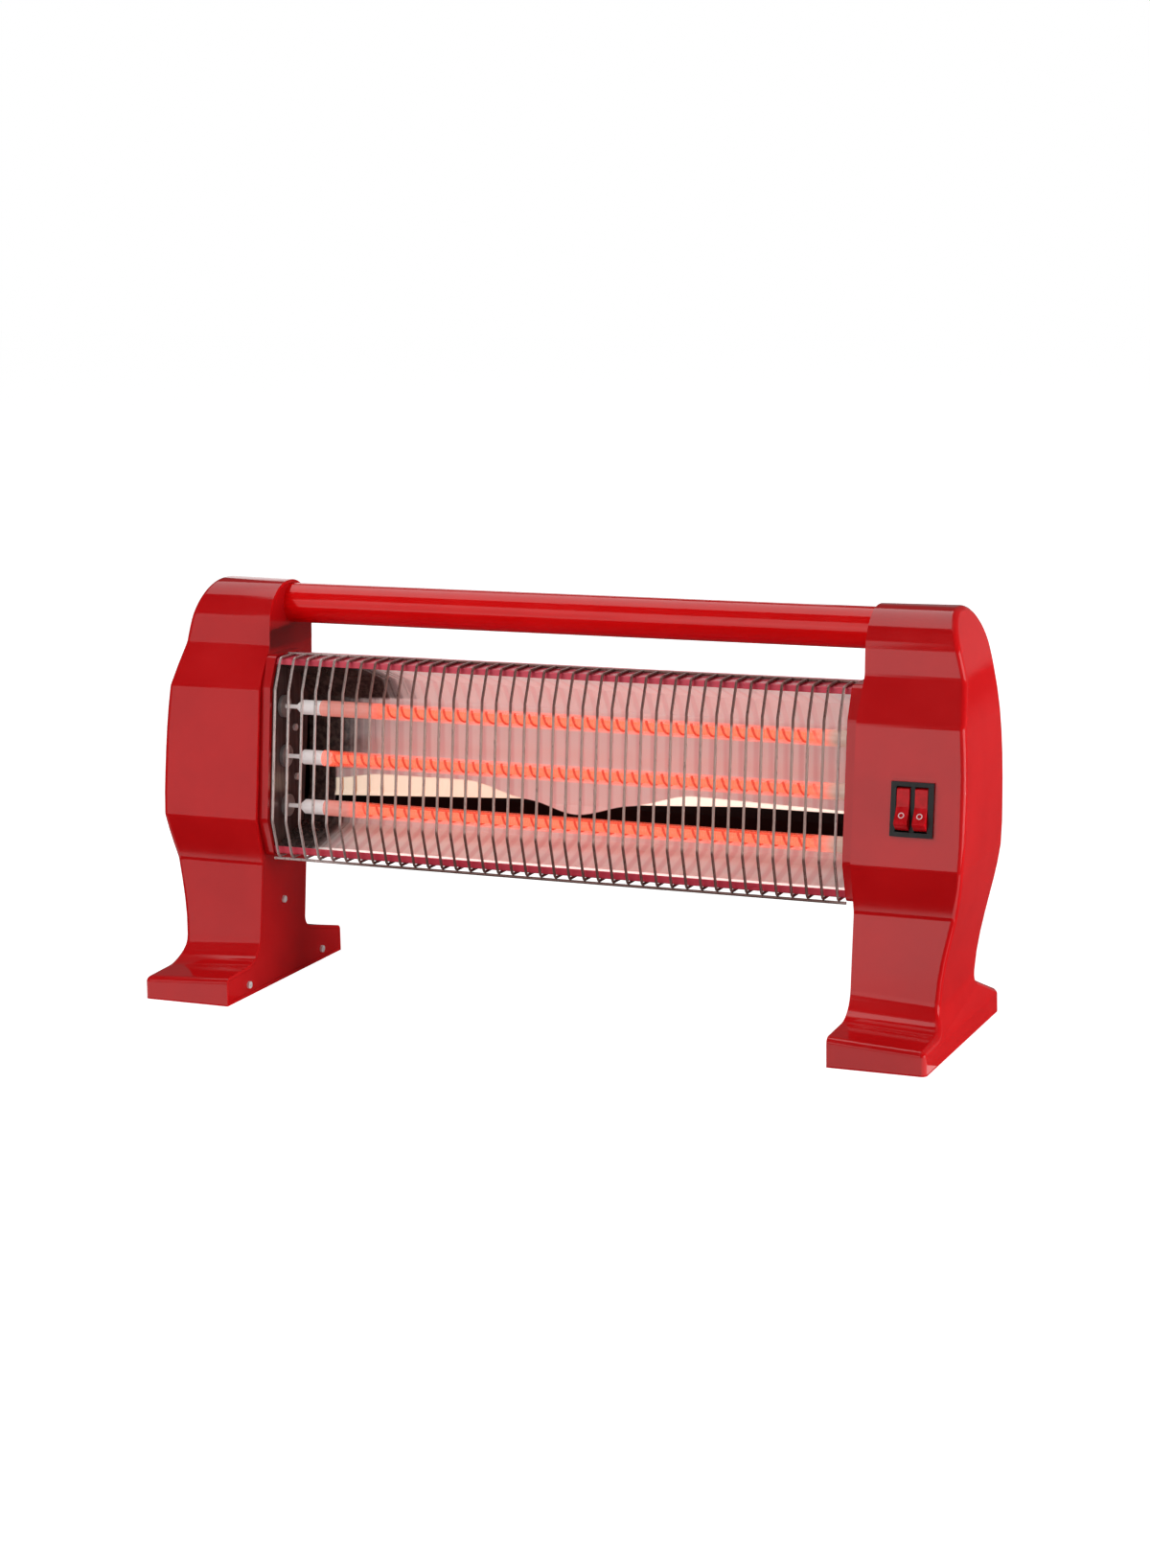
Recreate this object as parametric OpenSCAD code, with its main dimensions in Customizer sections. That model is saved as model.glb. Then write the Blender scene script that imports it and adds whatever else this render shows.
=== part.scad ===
// Electric bar heater: three quartz tubes in a red steel casing between two moulded columns.
// Frame: +X to the right as seen from the front, front towards -Y, +Z up, feet on z = 0, in mm.

/* [Column, front view] */
// Clear distance between the inner faces of the two columns
column_gap = 430; // [400:1:520]
// Overall height
height = 280; // [272:1:300]
// Width of the foot, from the inner face outwards
foot_w = 65; // [56:0.5:72]
// Width at the waist, just above the foot
waist_w = 59.5; // [54:0.5:66]
// Width at the belly
belly_w = 74; // [70:0.5:84]
// Width at the top of the crown
crown_w = 54; // [48:0.5:62]
// Height of the widest part of the belly
belly_z = 135; // [125:1:150]

/* [Column, side view] */
// Length of the foot, front to rear
foot_len = 168; // [156:1:190]
// Height of the foot at its front edge
foot_front_h = 19.5; // [17:0.5:22]
// Height of the foot at its rear edge
foot_rear_h = 18.5; // [17:0.5:22]
// How much lower the foot's upper side is at its outer end
foot_fall = 3.5; // [0:0.5:4]
// Height at which the front of the foot would meet the front of the waist
waist_front_z = 21.5; // [20:0.5:26]
// Height at which the rear of the foot would meet the rear of the waist
waist_rear_z = 31; // [26:0.5:36]
// Front of the waist, ahead of the part's centre plane
waist_front = 37.5; // [35:0.5:42]
// Rear of the waist, behind the centre plane
waist_rear = 30.5; // [28:0.5:34]
// Height of the crease under the front panel's lower slope
skirt_z = 88; // [80:0.5:90]
// Front of the column at that crease
skirt_front = 28.8; // [27:0.2:32]
// Rear of the column at that crease
skirt_rear = 37; // [35:0.5:42]
// Height of the front panel's lower edge
chin_z = 120; // [116:0.5:124]
// Front of the column at the panel's lower edge
chin_front = 35.8; // [35:0.2:40]
// Rear of the column at that height
chin_rear = 43; // [41:0.5:48]
// Height of the front panel's upper edge
brow_z = 210; // [204:0.5:214]
// Front of the column at the panel's upper edge
brow_front = 24.5; // [24:0.2:28]
// Rear of the column at that height
brow_rear = 53; // [51:0.5:58]
// Height of the crease where the crown starts
neck_z = 238; // [236:0.5:242]
// Front of the column at that crease
neck_front = 6.8; // [6:0.2:9]
// Rear of the column at that crease
neck_rear = 55; // [53:0.5:60]
// Front of the crown
crown_front = 4.5; // [3:0.5:6.5]
// Rear of the crown
crown_rear = 56.5; // [55:0.5:60]
// How far the rear wall sweeps back towards the outer side, below the panel
rear_sweep = 15; // [0:0.5:17]
// How far it sweeps back at the crown
crown_sweep = 5; // [0:0.5:7]
// Rounding of the creases
crease_r = 8; // [4:0.5:10]
// Fillet between the waist and the front of the foot
instep_r = 20; // [12:1:24]
// Fillet between the waist and the rear of the foot
heel_r = 8; // [5:0.5:12]
// Rounding of the foot's upper edges
toe_r = 4; // [3.8:0.1:5]

/* [Column, shell] */
// Wall of the moulded shell
wall = 2.4; // [1.8:0.1:3]
// Rounding between the front wrap and the outer side
lip_r = 3.5; // [2:0.1:3.7]
// Thickness of the inner panel
panel_t = 2.2; // [1.6:0.1:3]
// Clearance between fixed pieces that fit together
fit = 0.15; // [0.05:0.05:0.3]
// Diameter of the screw bosses
boss_d = 8; // [7:0.5:8.5]
// Height of the screw in the waist
waist_screw_z = 57; // [46:1:76]
// Distance of the foot's screws from its front and rear edges
screw_inset = 30; // [16:1:36]
// Thread diameter of the panel screws
screw_d = 3; // [2.5:0.1:3.5]
// Head diameter of the panel screws
screw_head_d = 5; // [4.5:0.1:6.5]
// Head height of the panel screws
screw_head_h = 1.6; // [1:0.1:2.4]
// Length of the panel screws under the head
screw_len = 12; // [9:0.5:14]

/* [Casing and collars] */
// How far each collar stands in from its panel
collar_t = 7; // [5:0.5:9]
// How far the collar stands out round the casing
collar_rim = 2.2; // [1.5:0.1:3]
// Width of the collar's ring
collar_ring = 5; // [4:0.5:7]
// Sheet of the casing
casing_t = 1; // [0.8:0.1:1.5]
// Top of the casing
casing_top = 230; // [228:0.5:232]
// Underside of the casing
casing_bottom = 95; // [93:0.5:98]
// Front of the casing at its top edge
casing_top_front = 9.5; // [8:0.5:11]
// Front of the casing's ends at the level of the panel's upper edge
casing_brow_front = 18.8; // [17:0.2:19]
// Front of the casing's ends at the level of the panel's lower edge
casing_chin_front = 29.2; // [28:0.2:29.4]
// Front of the casing at its lower edge
casing_bottom_front = 21.8; // [21:0.2:23]
// Rounding of the casing's front corners
casing_r = 1.6; // [1.5:0.1:3]
// Rounding of the collars' front corners, at the casing
collar_r = 3; // [3:0.1:4]
// Rear of the casing, near its top
casing_rear = 42; // [38:0.5:44]
// How much further forward the rear of the casing is near its underside
casing_rake = 6; // [5:0.5:10]
// Height of the slopes between the rear and the top and underside
casing_slope = 17; // [12:0.5:22]
// Lip that the casing turns down at the top of its mouth
top_lip = 4; // [3:0.5:6]
// Lip that the casing turns up at the bottom of its mouth
bottom_lip = 5.5; // [4:0.5:8]
// Length of one cooling slot in the rear
slot_w = 22; // [12:1:26]
// Height of one cooling slot
slot_h = 4; // [3:0.5:6]
// Distance between slot centres along a row
slot_pitch = 32; // [30:1:44]
// Rows of slots
slot_rows = 4; // [2:1:5]

/* [Grille] */
// Number of upright wires
wire_count = 40; // [30:1:44]
// Diameter of a wire
wire_d = 1.9; // [1.5:0.1:2.2]
// Diameter of the rods that tie the wires together
rod_d = 2; // [1.8:0.1:3]
// Clear distance from the first wire's centre to the collar
wire_margin = 4.6; // [3:0.2:8]
// How far the wires stand in front of the collars
wire_standoff = 2.2; // [1.5:0.1:4]
// Inner radius of the wires' bends
wire_bend = 2.2; // [1.5:0.1:3]
// How far the top legs reach back over the casing
top_leg = 19; // [14:1:28]
// How far the bottom legs reach back under the casing
bottom_leg = 14; // [10:1:20]

/* [Heating tubes] */
// Outer diameter of a quartz tube
tube_d = 11; // [10:0.1:12.5]
// Wall of a quartz tube
tube_t = 1; // [0.8:0.1:1.2]
// Height of the lowest tube's axis
tube_z = 126; // [123:0.5:130]
// Distance between the tubes' axes
tube_pitch = 35; // [30:0.5:36]
// Distance of the tubes' axes in front of the centre plane
tube_front = 5; // [2:0.5:8]
// Distance from the left collar to the left end of the glass
tube_setback = 32; // [28:0.5:40]
// How far the glass reaches into the right column
tube_reach = 5; // [3:0.5:10]
// Diameter of a ceramic end cap
cap_d = 10.2; // [9.6:0.1:12.4]
// Length of an end cap in sight
cap_len = 20; // [14:0.5:22]
// Length of an end cap's taper
cap_taper = 4.5; // [3:0.5:6]
// Diameter of the terminal pins
pin_d = 3; // [2.5:0.1:3.5]
// How far the pins reach into the columns
pin_reach = 5; // [3:0.5:8]
// Clearance of the tubes in the panels, across
tube_play = 1; // [0.4:0.1:1.6]
// Diameter of a ceramic bushing in the end plates
bushing_d = 15.5; // [15:0.1:18]
// Thickness of a bushing's flange
bushing_t = 2.6; // [2:0.1:3.5]
// Turns of one heating coil
coil_turns = 30; // [20:1:30]
// Outer diameter of a heating coil
coil_d = 8.4; // [7:0.1:8.6]
// Diameter of the coil's wire
coil_wire_d = 1.2; // [0.8:0.1:1.4]
// Straight tail at each end of a coil
coil_tail = 16; // [8:1:24]

/* [Reflector] */
// Sheet of the reflector and the end plates
plate_t = 0.8; // [0.5:0.1:1]
// Depth of the reflector's back behind the tubes' axes
reflector_depth = 38; // [32:0.5:39]
// Height of the reflector's upper and lower slopes
reflector_slope = 16; // [12:0.5:20]
// Height of the crease between the reflector's back and its lower slope
reflector_crease = 132; // [128:0.5:138]

/* [Carry handle] */
// Diameter of the handle tube
handle_d = 27.5; // [22:0.5:27.5]
// Wall of the handle tube
handle_t = 1.5; // [1:0.1:2.5]
// Distance of the handle's axis below the top of the crown
handle_drop = 16.5; // [16:0.5:18]
// Distance of the handle's axis behind the centre plane
handle_y = 29; // [27:0.5:31]
// Length of the plug in each end of the handle
plug_len = 14; // [10:1:20]
// Thread diameter of the handle bolts
bolt_d = 5; // [4:0.5:6]

/* [Switch] */
// Width of the switch frame
switch_w = 28; // [26:0.5:32]
// Height of the switch frame
switch_h = 35; // [33:0.5:38]
// Thickness of the switch frame
switch_t = 2; // [1.5:0.1:3]
// Depth of the switch body behind the panel
switch_depth = 20; // [16:0.5:24]
// Distance of the switch centre from the column's inner face
switch_x = 39.5; // [34:0.5:42]
// Height of the switch centre
switch_z = 158; // [146:0.5:182]
// Width of one rocker
rocker_w = 8.4; // [7.6:0.1:8.8]
// Radius of a rocker's ends about its pivot
rocker_r = 14.2; // [12:0.1:14.6]
// Tilt of a rocker to each side of level
rocker_tilt = 13; // [8:0.5:14]
// Depth of the pivot behind the panel
pivot_depth = 4; // [3:0.5:6]
// Diameter of the pivot stubs
pivot_d = 3; // [2.4:0.1:4]
// Radial clearance of the pivot stubs
pivot_clear = 0.05; // [0.03:0.01:0.1]
// Clearance at each side and end of a rocker
rocker_clear = 0.3; // [0.2:0.05:0.4]

/* [Cord inlet] */
// Bore of the grommet
inlet_bore = 7; // [5:0.5:8]
// Diameter of the grommet's neck
inlet_d = 12; // [11:0.5:13]
// Diameter of the grommet's flange
inlet_flange_d = 16; // [15:0.5:18]
// Height of the grommet's axis
inlet_z = 62; // [54:1:70]
// Distance of the grommet's axis from the column's inner face
inlet_x = 30; // [24:1:36]
// Height of the flat boss that the grommet sits on
inlet_boss = 4; // [2:0.5:6]

/* [Hidden] */

$fn = 48;
crease_steps = 4;
instep_steps = 8;
crown_steps = 14;
lip_steps = 5;
red = [0.78, 0.05, 0.05];
chrome = [0.75, 0.74, 0.72];
mirror_grey = [0.72, 0.66, 0.64];
dark = [0.12, 0.11, 0.11];
ceramic = [0.88, 0.86, 0.84];
glow = [1, 0.42, 0.2];

handle_z = height - handle_drop;
inner_x = column_gap / 2;
collar_x = inner_x - collar_t;
plate_x = collar_x - plate_t;

function tube_height(i) = tube_z + i * tube_pitch;
plate_screw_y = casing_rear / 4;
plate_screw_heights = [tube_height(0.5), tube_height(1.5)];

// ---- Outlines with rounded corners --------------------------------------------------------

function unit(v) = v / norm(v);
function cross2(a, b) = a[0] * b[1] - a[1] * b[0];
function turned(v, a) = [v[0] * cos(a) - v[1] * sin(a), v[0] * sin(a) + v[1] * cos(a)];

// Points and outward normals round corner b of a clockwise outline, with radius r.
function corner(a, b, c, r, steps) =
    let (
        u = unit(a - b),
        v = unit(c - b),
        half = acos(u * v) / 2,
        centre = b + unit(u + v) * r / sin(half),
        start = b + u * r / tan(half),
        sweep = 180 - 2 * half,
        side = cross2(b - a, c - b) < 0 ? 1 : -1,
        spoke = (start - centre) / r
    )
    [
        for (i = [0:steps])
            let (n = turned(spoke, -side * sweep * i / steps))
            [centre + n * r, n * side]
    ];

function moved(points, by) = [for (p = points) p[0] + p[1] * by];

// A closed outline from corners [y, z, radius], moved outwards by grow.
function rounded(corners, grow) =
    let (last = len(corners) - 1)
    moved([
        for (i = [0:last])
            let (
                a = corners[i == 0 ? last : i - 1],
                b = corners[i],
                c = corners[i == last ? 0 : i + 1]
            )
            each corner([a[0], a[1]], [b[0], b[1]], [c[0], c[1]], b[2], crease_steps)
    ], grow);

// ---- Column form --------------------------------------------------------------------------

foot_half = foot_len / 2;
crown_r = (crown_rear + crown_front) / 2 - 1;

function ease(t) = (1 - cos(180 * min(1, max(0, t)))) / 2;

// Width of the column at height z, from the inner face to the outer side.
function column_w(z) =
    z > belly_z
        ? belly_w - (belly_w - crown_w) * pow((z - belly_z) / (height - belly_z), 3)
        : waist_w + (belly_w - waist_w) * ease((z - waist_rear_z) / (belly_z - waist_rear_z))
            + (foot_w - waist_w) * ease((waist_rear_z - z) / (waist_rear_z - foot_front_h / 2));

function swept(z) =
    crown_sweep
        + (rear_sweep - crown_sweep) * min(1, max(0, (neck_z - z) / (neck_z - chin_z)));

// Chains rounded corners into one line, with steps[i] more points on the straight after corner i.
function chained(corners, steps) =
    [
        for (i = [0:len(corners) - 1])
            let (last = corners[i][len(corners[i]) - 1])
            each concat(
                corners[i],
                steps[i] == 0 ? [] : [
                    for (j = [1:steps[i]])
                        let (t = j / (steps[i] + 1))
                        [last[0] + (corners[i + 1][0][0] - last[0]) * t, last[1]]
                ]
            )
    ];

// Front half of the side view, upwards: points with normals. sweep is 0 at the inner face and 1
// at the outer side, where the foot is lower.
function front_half(sweep) =
    let (
        foot = [-foot_half, 0],
        toe = [-foot_half, foot_front_h - sweep * foot_fall],
        waist = [-waist_front, waist_front_z - sweep * foot_fall],
        skirt = [-skirt_front, skirt_z],
        chin = [-chin_front, chin_z],
        brow = [-brow_front, brow_z],
        neck = [-neck_front, neck_z],
        crown = [-crown_front, height]
    )
    chained([
        [[foot, [-1, 0]]],
        corner(foot, toe, waist, toe_r, crease_steps),
        corner(toe, waist, skirt, instep_r, instep_steps),
        corner(waist, skirt, chin, crease_r, crease_steps),
        corner(skirt, chin, brow, crease_r, crease_steps),
        corner(chin, brow, neck, crease_r, crease_steps),
        corner(brow, neck, crown, crease_r, crease_steps),
        corner(neck, crown, [crown_rear, height], crown_r, crown_steps)
    ], [0, 1, 3, 2, 5, 1, 1, 0]);

// Rear half, downwards, with the rear wall further back at the outer side.
function rear_half(sweep) =
    let (
        crown = [crown_rear + sweep * crown_sweep, height],
        neck = [neck_rear + sweep * swept(neck_z), neck_z],
        brow = [brow_rear + sweep * swept(brow_z), brow_z],
        chin = [chin_rear + sweep * swept(chin_z), chin_z],
        skirt = [skirt_rear + sweep * swept(skirt_z), skirt_z],
        waist = [waist_rear + sweep * swept(waist_rear_z), waist_rear_z],
        toe = [foot_half, foot_rear_h - sweep * foot_fall],
        foot = [foot_half, 0]
    )
    chained([
        corner([-crown_front, height], crown, neck, crown_r, crown_steps),
        corner(crown, neck, brow, crease_r, crease_steps),
        corner(neck, brow, chin, crease_r, crease_steps),
        corner(brow, chin, skirt, crease_r, crease_steps),
        corner(chin, skirt, waist, crease_r, crease_steps),
        corner(skirt, waist, toe, heel_r, instep_steps),
        corner(waist, toe, foot, toe_r, crease_steps),
        [[foot, [1, 0]]]
    ], [1, 1, 5, 2, 3, 1, 0, 0]);

function side_view(sweep) = concat(front_half(sweep), rear_half(sweep));

// The side view moved inwards by t, with its underside at height floor_z.
function inset_view(sweep, t, floor_z) =
    [for (p = side_view(sweep)) let (q = p[0] - p[1] * t) [q[0], max(q[1], floor_z)]];

function ring(points, x_in, x_back) =
    [for (p = points) [x_in >= 0 ? x_in : inner_x + column_w(p[1]) - x_back, p[0], p[1]]];

// Triangles of the band between two rings of count points that start at a and b.
function band(a, b, count) =
    [
        for (j = [0:count - 1])
            let (k = (j + 1) % count)
            each [[a + j, a + k, b + k], [a + j, b + k, b + j]]
    ];

// Triangles across a ring, joining each front point to its rear partner.
function across(a, count) =
    [
        for (j = [0:count / 2 - 2])
            each [
                [a + j, a + j + 1, a + count - 2 - j],
                [a + j, a + count - 2 - j, a + count - 1 - j]
            ]
    ];

function flipped(faces) = [for (f = faces) [f[2], f[1], f[0]]];

module shell_form() {
    edge = ring(inset_view(0, 0, 0), inner_x, 0);
    lips = [
        for (i = [0:lip_steps])
            let (a = 90 * i / lip_steps)
            each ring(inset_view(1, lip_r * (1 - cos(a)), 0), -1, lip_r * (1 - sin(a)))
    ];
    mouth = ring(inset_view(0, wall, wall), inner_x, 0);
    back = ring(inset_view(1, wall, wall), -1, wall);
    n = len(edge);
    outer_rings = lip_steps + 2;
    cavity = outer_rings * n;
    polyhedron(
        points = concat(edge, lips, mouth, back),
        faces = concat(
            [for (k = [0:outer_rings - 2]) each band(k * n, (k + 1) * n, n)],
            across((outer_rings - 1) * n, n),
            flipped(band(cavity, cavity + n, n)),
            flipped(across(cavity + n, n)),
            band(cavity, 0, n)
        ),
        convexity = 6
    );
}

// Screw places on the inner panel, as [y, z].
screw_places = [
    [0, waist_screw_z],
    [screw_inset - foot_half, boss_d],
    [foot_half - screw_inset, boss_d]
];

module along_x(x, y, z, d, len) {
    translate([x, y, z])
        rotate([0, 90, 0])
            cylinder(d = d, h = len);
}

module column_shell() {
    difference() {
        union() {
            shell_form();
            for (p = screw_places)
                along_x(inner_x + panel_t, p[0], p[1], boss_d, column_w(p[1]) - panel_t - wall / 2);
        }
        for (p = screw_places)
            along_x(inner_x, p[0], p[1], screw_d + 2 * fit, panel_t + screw_len);
    }
}

// Places things in the frame of the sloping front panel, at the switch.
panel_slope = atan2(chin_front - brow_front, brow_z - chin_z);
function panel_front(z) = brow_front + (chin_front - brow_front) * (brow_z - z) / (brow_z - chin_z);

module at_switch() {
    translate([inner_x + switch_x, -panel_front(switch_z), switch_z])
        rotate([-panel_slope, 0, 0])
            children();
}

body_w = switch_w - 4;
body_h = switch_h - 4;

inlet_face = skirt_rear + rear_sweep / 2 + inlet_boss;

module left_shell() {
    color(red)
        mirror([1, 0, 0])
            column_shell();
}

module right_shell() {
    color(red)
        difference() {
            union() {
                column_shell();
                translate([inner_x + inlet_x, inlet_face, inlet_z])
                    rotate([90, 0, 0])
                        cylinder(d = inlet_flange_d + 3, h = inlet_face - waist_rear + wall / 2);
            }
            translate([inner_x + inlet_x, inlet_face + 1, inlet_z])
                rotate([90, 0, 0])
                    cylinder(d = inlet_d, h = inlet_face - waist_rear + 2 * wall + 4);
            at_switch()
                translate([-body_w / 2 - fit, -wall, -body_h / 2 - fit])
                    cube([body_w + 2 * fit, 4 * wall, body_h + 2 * fit]);
        }
}

// ---- Inner panels -------------------------------------------------------------------------

// Extrudes an outline of [y, z] points from x outwards.
module slab(x, t, points) {
    translate([x, 0, 0])
        rotate([90, 0, 90])
            linear_extrude(t)
                polygon(points);
}

// Side view of the heater body, mouth included, clockwise from the mouth's lower corner, with
// front corners of radius r and moved outwards by grow.
mouth_low = [-casing_bottom_front, casing_bottom];
mouth_chin = [-casing_chin_front, chin_z];
mouth_brow = [-casing_brow_front, brow_z];
mouth_high = [-casing_top_front, casing_top];

function body_view(r, grow) =
    rounded([
        [mouth_low[0], mouth_low[1], r],
        [mouth_chin[0], mouth_chin[1], crease_r],
        [mouth_brow[0], mouth_brow[1], crease_r],
        [mouth_high[0], mouth_high[1], r],
        [casing_rear - casing_slope, casing_top, crease_r],
        [casing_rear, casing_top - casing_slope, crease_r],
        [casing_rear - casing_rake, casing_bottom + casing_slope, crease_r],
        [casing_rear - casing_rake - casing_slope, casing_bottom, crease_r]
    ], grow);

module inner_panel() {
    difference() {
        union() {
            slab(inner_x, panel_t, inset_view(0, wall + fit, wall + fit));
            difference() {
                slab(collar_x, collar_t, body_view(collar_r, collar_rim));
                slab(collar_x - 1, collar_t + 1, body_view(collar_r, collar_rim - collar_ring));
            }
            for (z = plate_screw_heights)
                along_x(collar_x, plate_screw_y, z, boss_d, collar_t);
        }
        for (p = screw_places)
            along_x(inner_x - 1, p[0], p[1], screw_d + 2 * fit, panel_t + 2);
        for (z = plate_screw_heights)
            along_x(collar_x - 1, plate_screw_y, z, screw_d + 2 * fit, collar_t);
        for (i = [0:2])
            along_x(inner_x - 1, -tube_front, tube_height(i), tube_d + tube_play, panel_t + 2);
        along_x(inner_x - 1, handle_y, handle_z, bolt_d + 2 * fit, panel_t + 2);
    }
}

module left_inner_panel() {
    color(red)
        mirror([1, 0, 0])
            inner_panel();
}

module right_inner_panel() {
    color(red)
        inner_panel();
}

module panel_screws() {
    for (p = screw_places) {
        along_x(inner_x - screw_head_h, p[0], p[1], screw_head_d, screw_head_h);
        along_x(inner_x, p[0], p[1], screw_d, screw_len);
    }
}

module left_panel_screws() {
    color(chrome)
        mirror([1, 0, 0])
            panel_screws();
}

module right_panel_screws() {
    color(chrome)
        panel_screws();
}

// ---- Carry handle -------------------------------------------------------------------------

handle_bore = handle_d - 2 * handle_t;

module carry_handle() {
    color(red)
        difference() {
            along_x(-inner_x, handle_y, handle_z, handle_d, column_gap);
            along_x(-inner_x - 1, handle_y, handle_z, handle_bore, column_gap + 2);
        }
}

module handle_plugs() {
    color(dark)
        for (side = [0, 1])
            mirror([side, 0, 0])
                translate([inner_x - plug_len, handle_y, handle_z])
                    difference() {
                        along_x(0, 0, 0, handle_bore - 2 * fit, plug_len);
                        along_x(-1, 0, 0, bolt_d + 2 * fit, plug_len + 2);
                    }
}

module handle_bolts() {
    color(chrome)
        for (side = [0, 1])
            mirror([side, 0, 0]) {
                along_x(inner_x - plug_len + 2, handle_y, handle_z, bolt_d, plug_len - 2 + panel_t);
                along_x(inner_x + panel_t, handle_y, handle_z, 2 * bolt_d, bolt_d * 0.7);
            }
}

// ---- Casing, reflector and end plates -----------------------------------------------------

module rear_slots() {
    per_row = floor((2 * plate_x - slot_w) / slot_pitch) + 1;
    first = -(per_row - 1) * slot_pitch / 2;
    rear_h = casing_top - casing_bottom - 2 * casing_slope;
    for (row = [1:slot_rows], i = [0:per_row - 1])
        translate([
            first + i * slot_pitch - slot_w / 2,
            casing_rear - casing_rake - 4 * casing_t,
            casing_bottom + casing_slope + rear_h * row / (slot_rows + 1) - slot_h / 2
        ])
            cube([slot_w, casing_rake + 8 * casing_t, slot_h]);
}

module rear_casing() {
    color(red)
        difference() {
            slab(-collar_x, 2 * collar_x, body_view(casing_r, 0));
            slab(-collar_x - 1, 2 * collar_x + 2, body_view(casing_r, -casing_t));
            translate([-collar_x - 1, -2 * chin_front, casing_bottom + bottom_lip])
                cube([
                    2 * collar_x + 2,
                    2 * chin_front - min(tube_front, casing_top_front) / 2,
                    casing_top - top_lip - casing_bottom - bottom_lip
                ]);
            rear_slots();
        }
}

// Depth of the mouth's slanted edge at height z between two of its corners, clear of the sheet.
function mouth_y(a, b, z) = a[0] + (b[0] - a[0]) * (z - a[1]) / (b[1] - a[1]) + casing_t + 2 * fit;

reflector_back = reflector_depth - tube_front;
reflector_path = [
    [mouth_y(mouth_high, mouth_brow, casing_top - top_lip), casing_top - top_lip],
    [reflector_back - reflector_slope * 0.7, casing_top - reflector_slope],
    [reflector_back, casing_top - 2 * reflector_slope],
    [reflector_back - casing_rake / 2, reflector_crease],
    [reflector_back - casing_rake / 2 - reflector_slope * 0.7, casing_bottom + reflector_slope],
    [mouth_y(mouth_low, mouth_chin, casing_bottom + bottom_lip), casing_bottom + bottom_lip]
];

// Unit normal of the bend at point i of an open path, scaled so that the sheet keeps its thickness.
function mitre(path, i) =
    let (
        a = i == 0 ? path[1] - path[0] : path[i] - path[i - 1],
        b = i == len(path) - 1 ? a : path[i + 1] - path[i],
        n = unit(turned(unit(a), 90) + turned(unit(b), 90))
    )
    n / (n * turned(unit(a), 90));

function sheet_outline(path, t) =
    concat(path, [for (i = [len(path) - 1:-1:0]) path[i] + mitre(path, i) * t]);

module reflector() {
    color(mirror_grey)
        slab(-plate_x, 2 * plate_x, sheet_outline(reflector_path, plate_t));
}

module end_plate() {
    difference() {
        slab(plate_x, plate_t, body_view(casing_r, -casing_t - fit));
        for (i = [0:2])
            along_x(plate_x - 1, -tube_front, tube_height(i), neck_d + 2 * fit, plate_t + 2);
        for (z = plate_screw_heights)
            along_x(plate_x - 1, plate_screw_y, z, screw_d + 2 * fit, plate_t + 2);
    }
}

module left_end_plate() {
    color(dark)
        mirror([1, 0, 0])
            end_plate();
}

module right_end_plate() {
    color(dark)
        end_plate();
}

module end_plate_screws() {
    color(chrome)
        for (side = [0, 1], z = plate_screw_heights)
            mirror([side, 0, 0]) {
                along_x(plate_x - screw_head_h, plate_screw_y, z, screw_head_d, screw_head_h);
                along_x(plate_x, plate_screw_y, z, screw_d, plate_t + collar_t - 1 - fit);
            }
}

// ---- Heating tubes ------------------------------------------------------------------------

tube_left = -collar_x + tube_setback;
tube_right = inner_x + panel_t + tube_reach;
bore_d = tube_d - 2 * tube_t;

module at_tube(i) {
    translate([0, -tube_front, tube_height(i)])
        children();
}

module quartz_tube(i) {
    color([0.9, 0.75, 0.7, 0.6])
        at_tube(i)
            difference() {
                along_x(tube_left, 0, 0, tube_d, tube_right - tube_left);
                along_x(tube_left - 1, 0, 0, bore_d, tube_right - tube_left + 2);
            }
}

module tube_top() {
    quartz_tube(2);
}

module tube_middle() {
    quartz_tube(1);
}

module tube_bottom() {
    quartz_tube(0);
}

plug_depth = 4;

plug_d = bore_d - 2 * fit;

// Left cap, from its plug in the glass to its pin through the bushing and the panel.
module left_tube_cap() {
    cap_start = tube_left - cap_len;
    pin_end = -inner_x - panel_t - pin_reach;
    along_x(tube_left, 0, 0, plug_d, plug_depth);
    along_x(cap_start + cap_taper, 0, 0, cap_d, cap_len - cap_taper);
    translate([cap_start, 0, 0])
        rotate([0, 90, 0])
            cylinder(d1 = pin_d, d2 = cap_d, h = cap_taper);
    along_x(pin_end, 0, 0, pin_d, cap_start - pin_end);
}

module right_tube_cap() {
    along_x(tube_right - plug_depth, 0, 0, plug_d, plug_depth);
    along_x(tube_right, 0, 0, cap_d, cap_len - cap_taper);
    along_x(tube_right + cap_len - cap_taper, 0, 0, pin_d, pin_reach);
}

module left_tube_caps() {
    color(ceramic)
        for (i = [0:2])
            at_tube(i)
                left_tube_cap();
}

module right_tube_caps() {
    color(ceramic)
        for (i = [0:2])
            at_tube(i)
                right_tube_cap();
}

// A ceramic bushing for a pin or tube of diameter d: flange on the tube side of the end plate,
// neck through it.
neck_d = (bushing_d + tube_d) / 2;
neck_len = plate_t + 2;

module bushing(d) {
    difference() {
        union() {
            along_x(plate_x - bushing_t, 0, 0, bushing_d, bushing_t);
            along_x(plate_x, 0, 0, neck_d, neck_len);
        }
        along_x(plate_x - bushing_t - 1, 0, 0, d + 2 * fit, bushing_t + neck_len + 2);
    }
}

module left_bushings() {
    color([0.5, 0.48, 0.46])
        for (i = [0:2])
            at_tube(i)
                mirror([1, 0, 0])
                    bushing(pin_d);
}

module right_bushings() {
    color([0.5, 0.48, 0.46])
        for (i = [0:2])
            at_tube(i)
                bushing(tube_d);
}

// ---- Heating coils ------------------------------------------------------------------------

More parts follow.
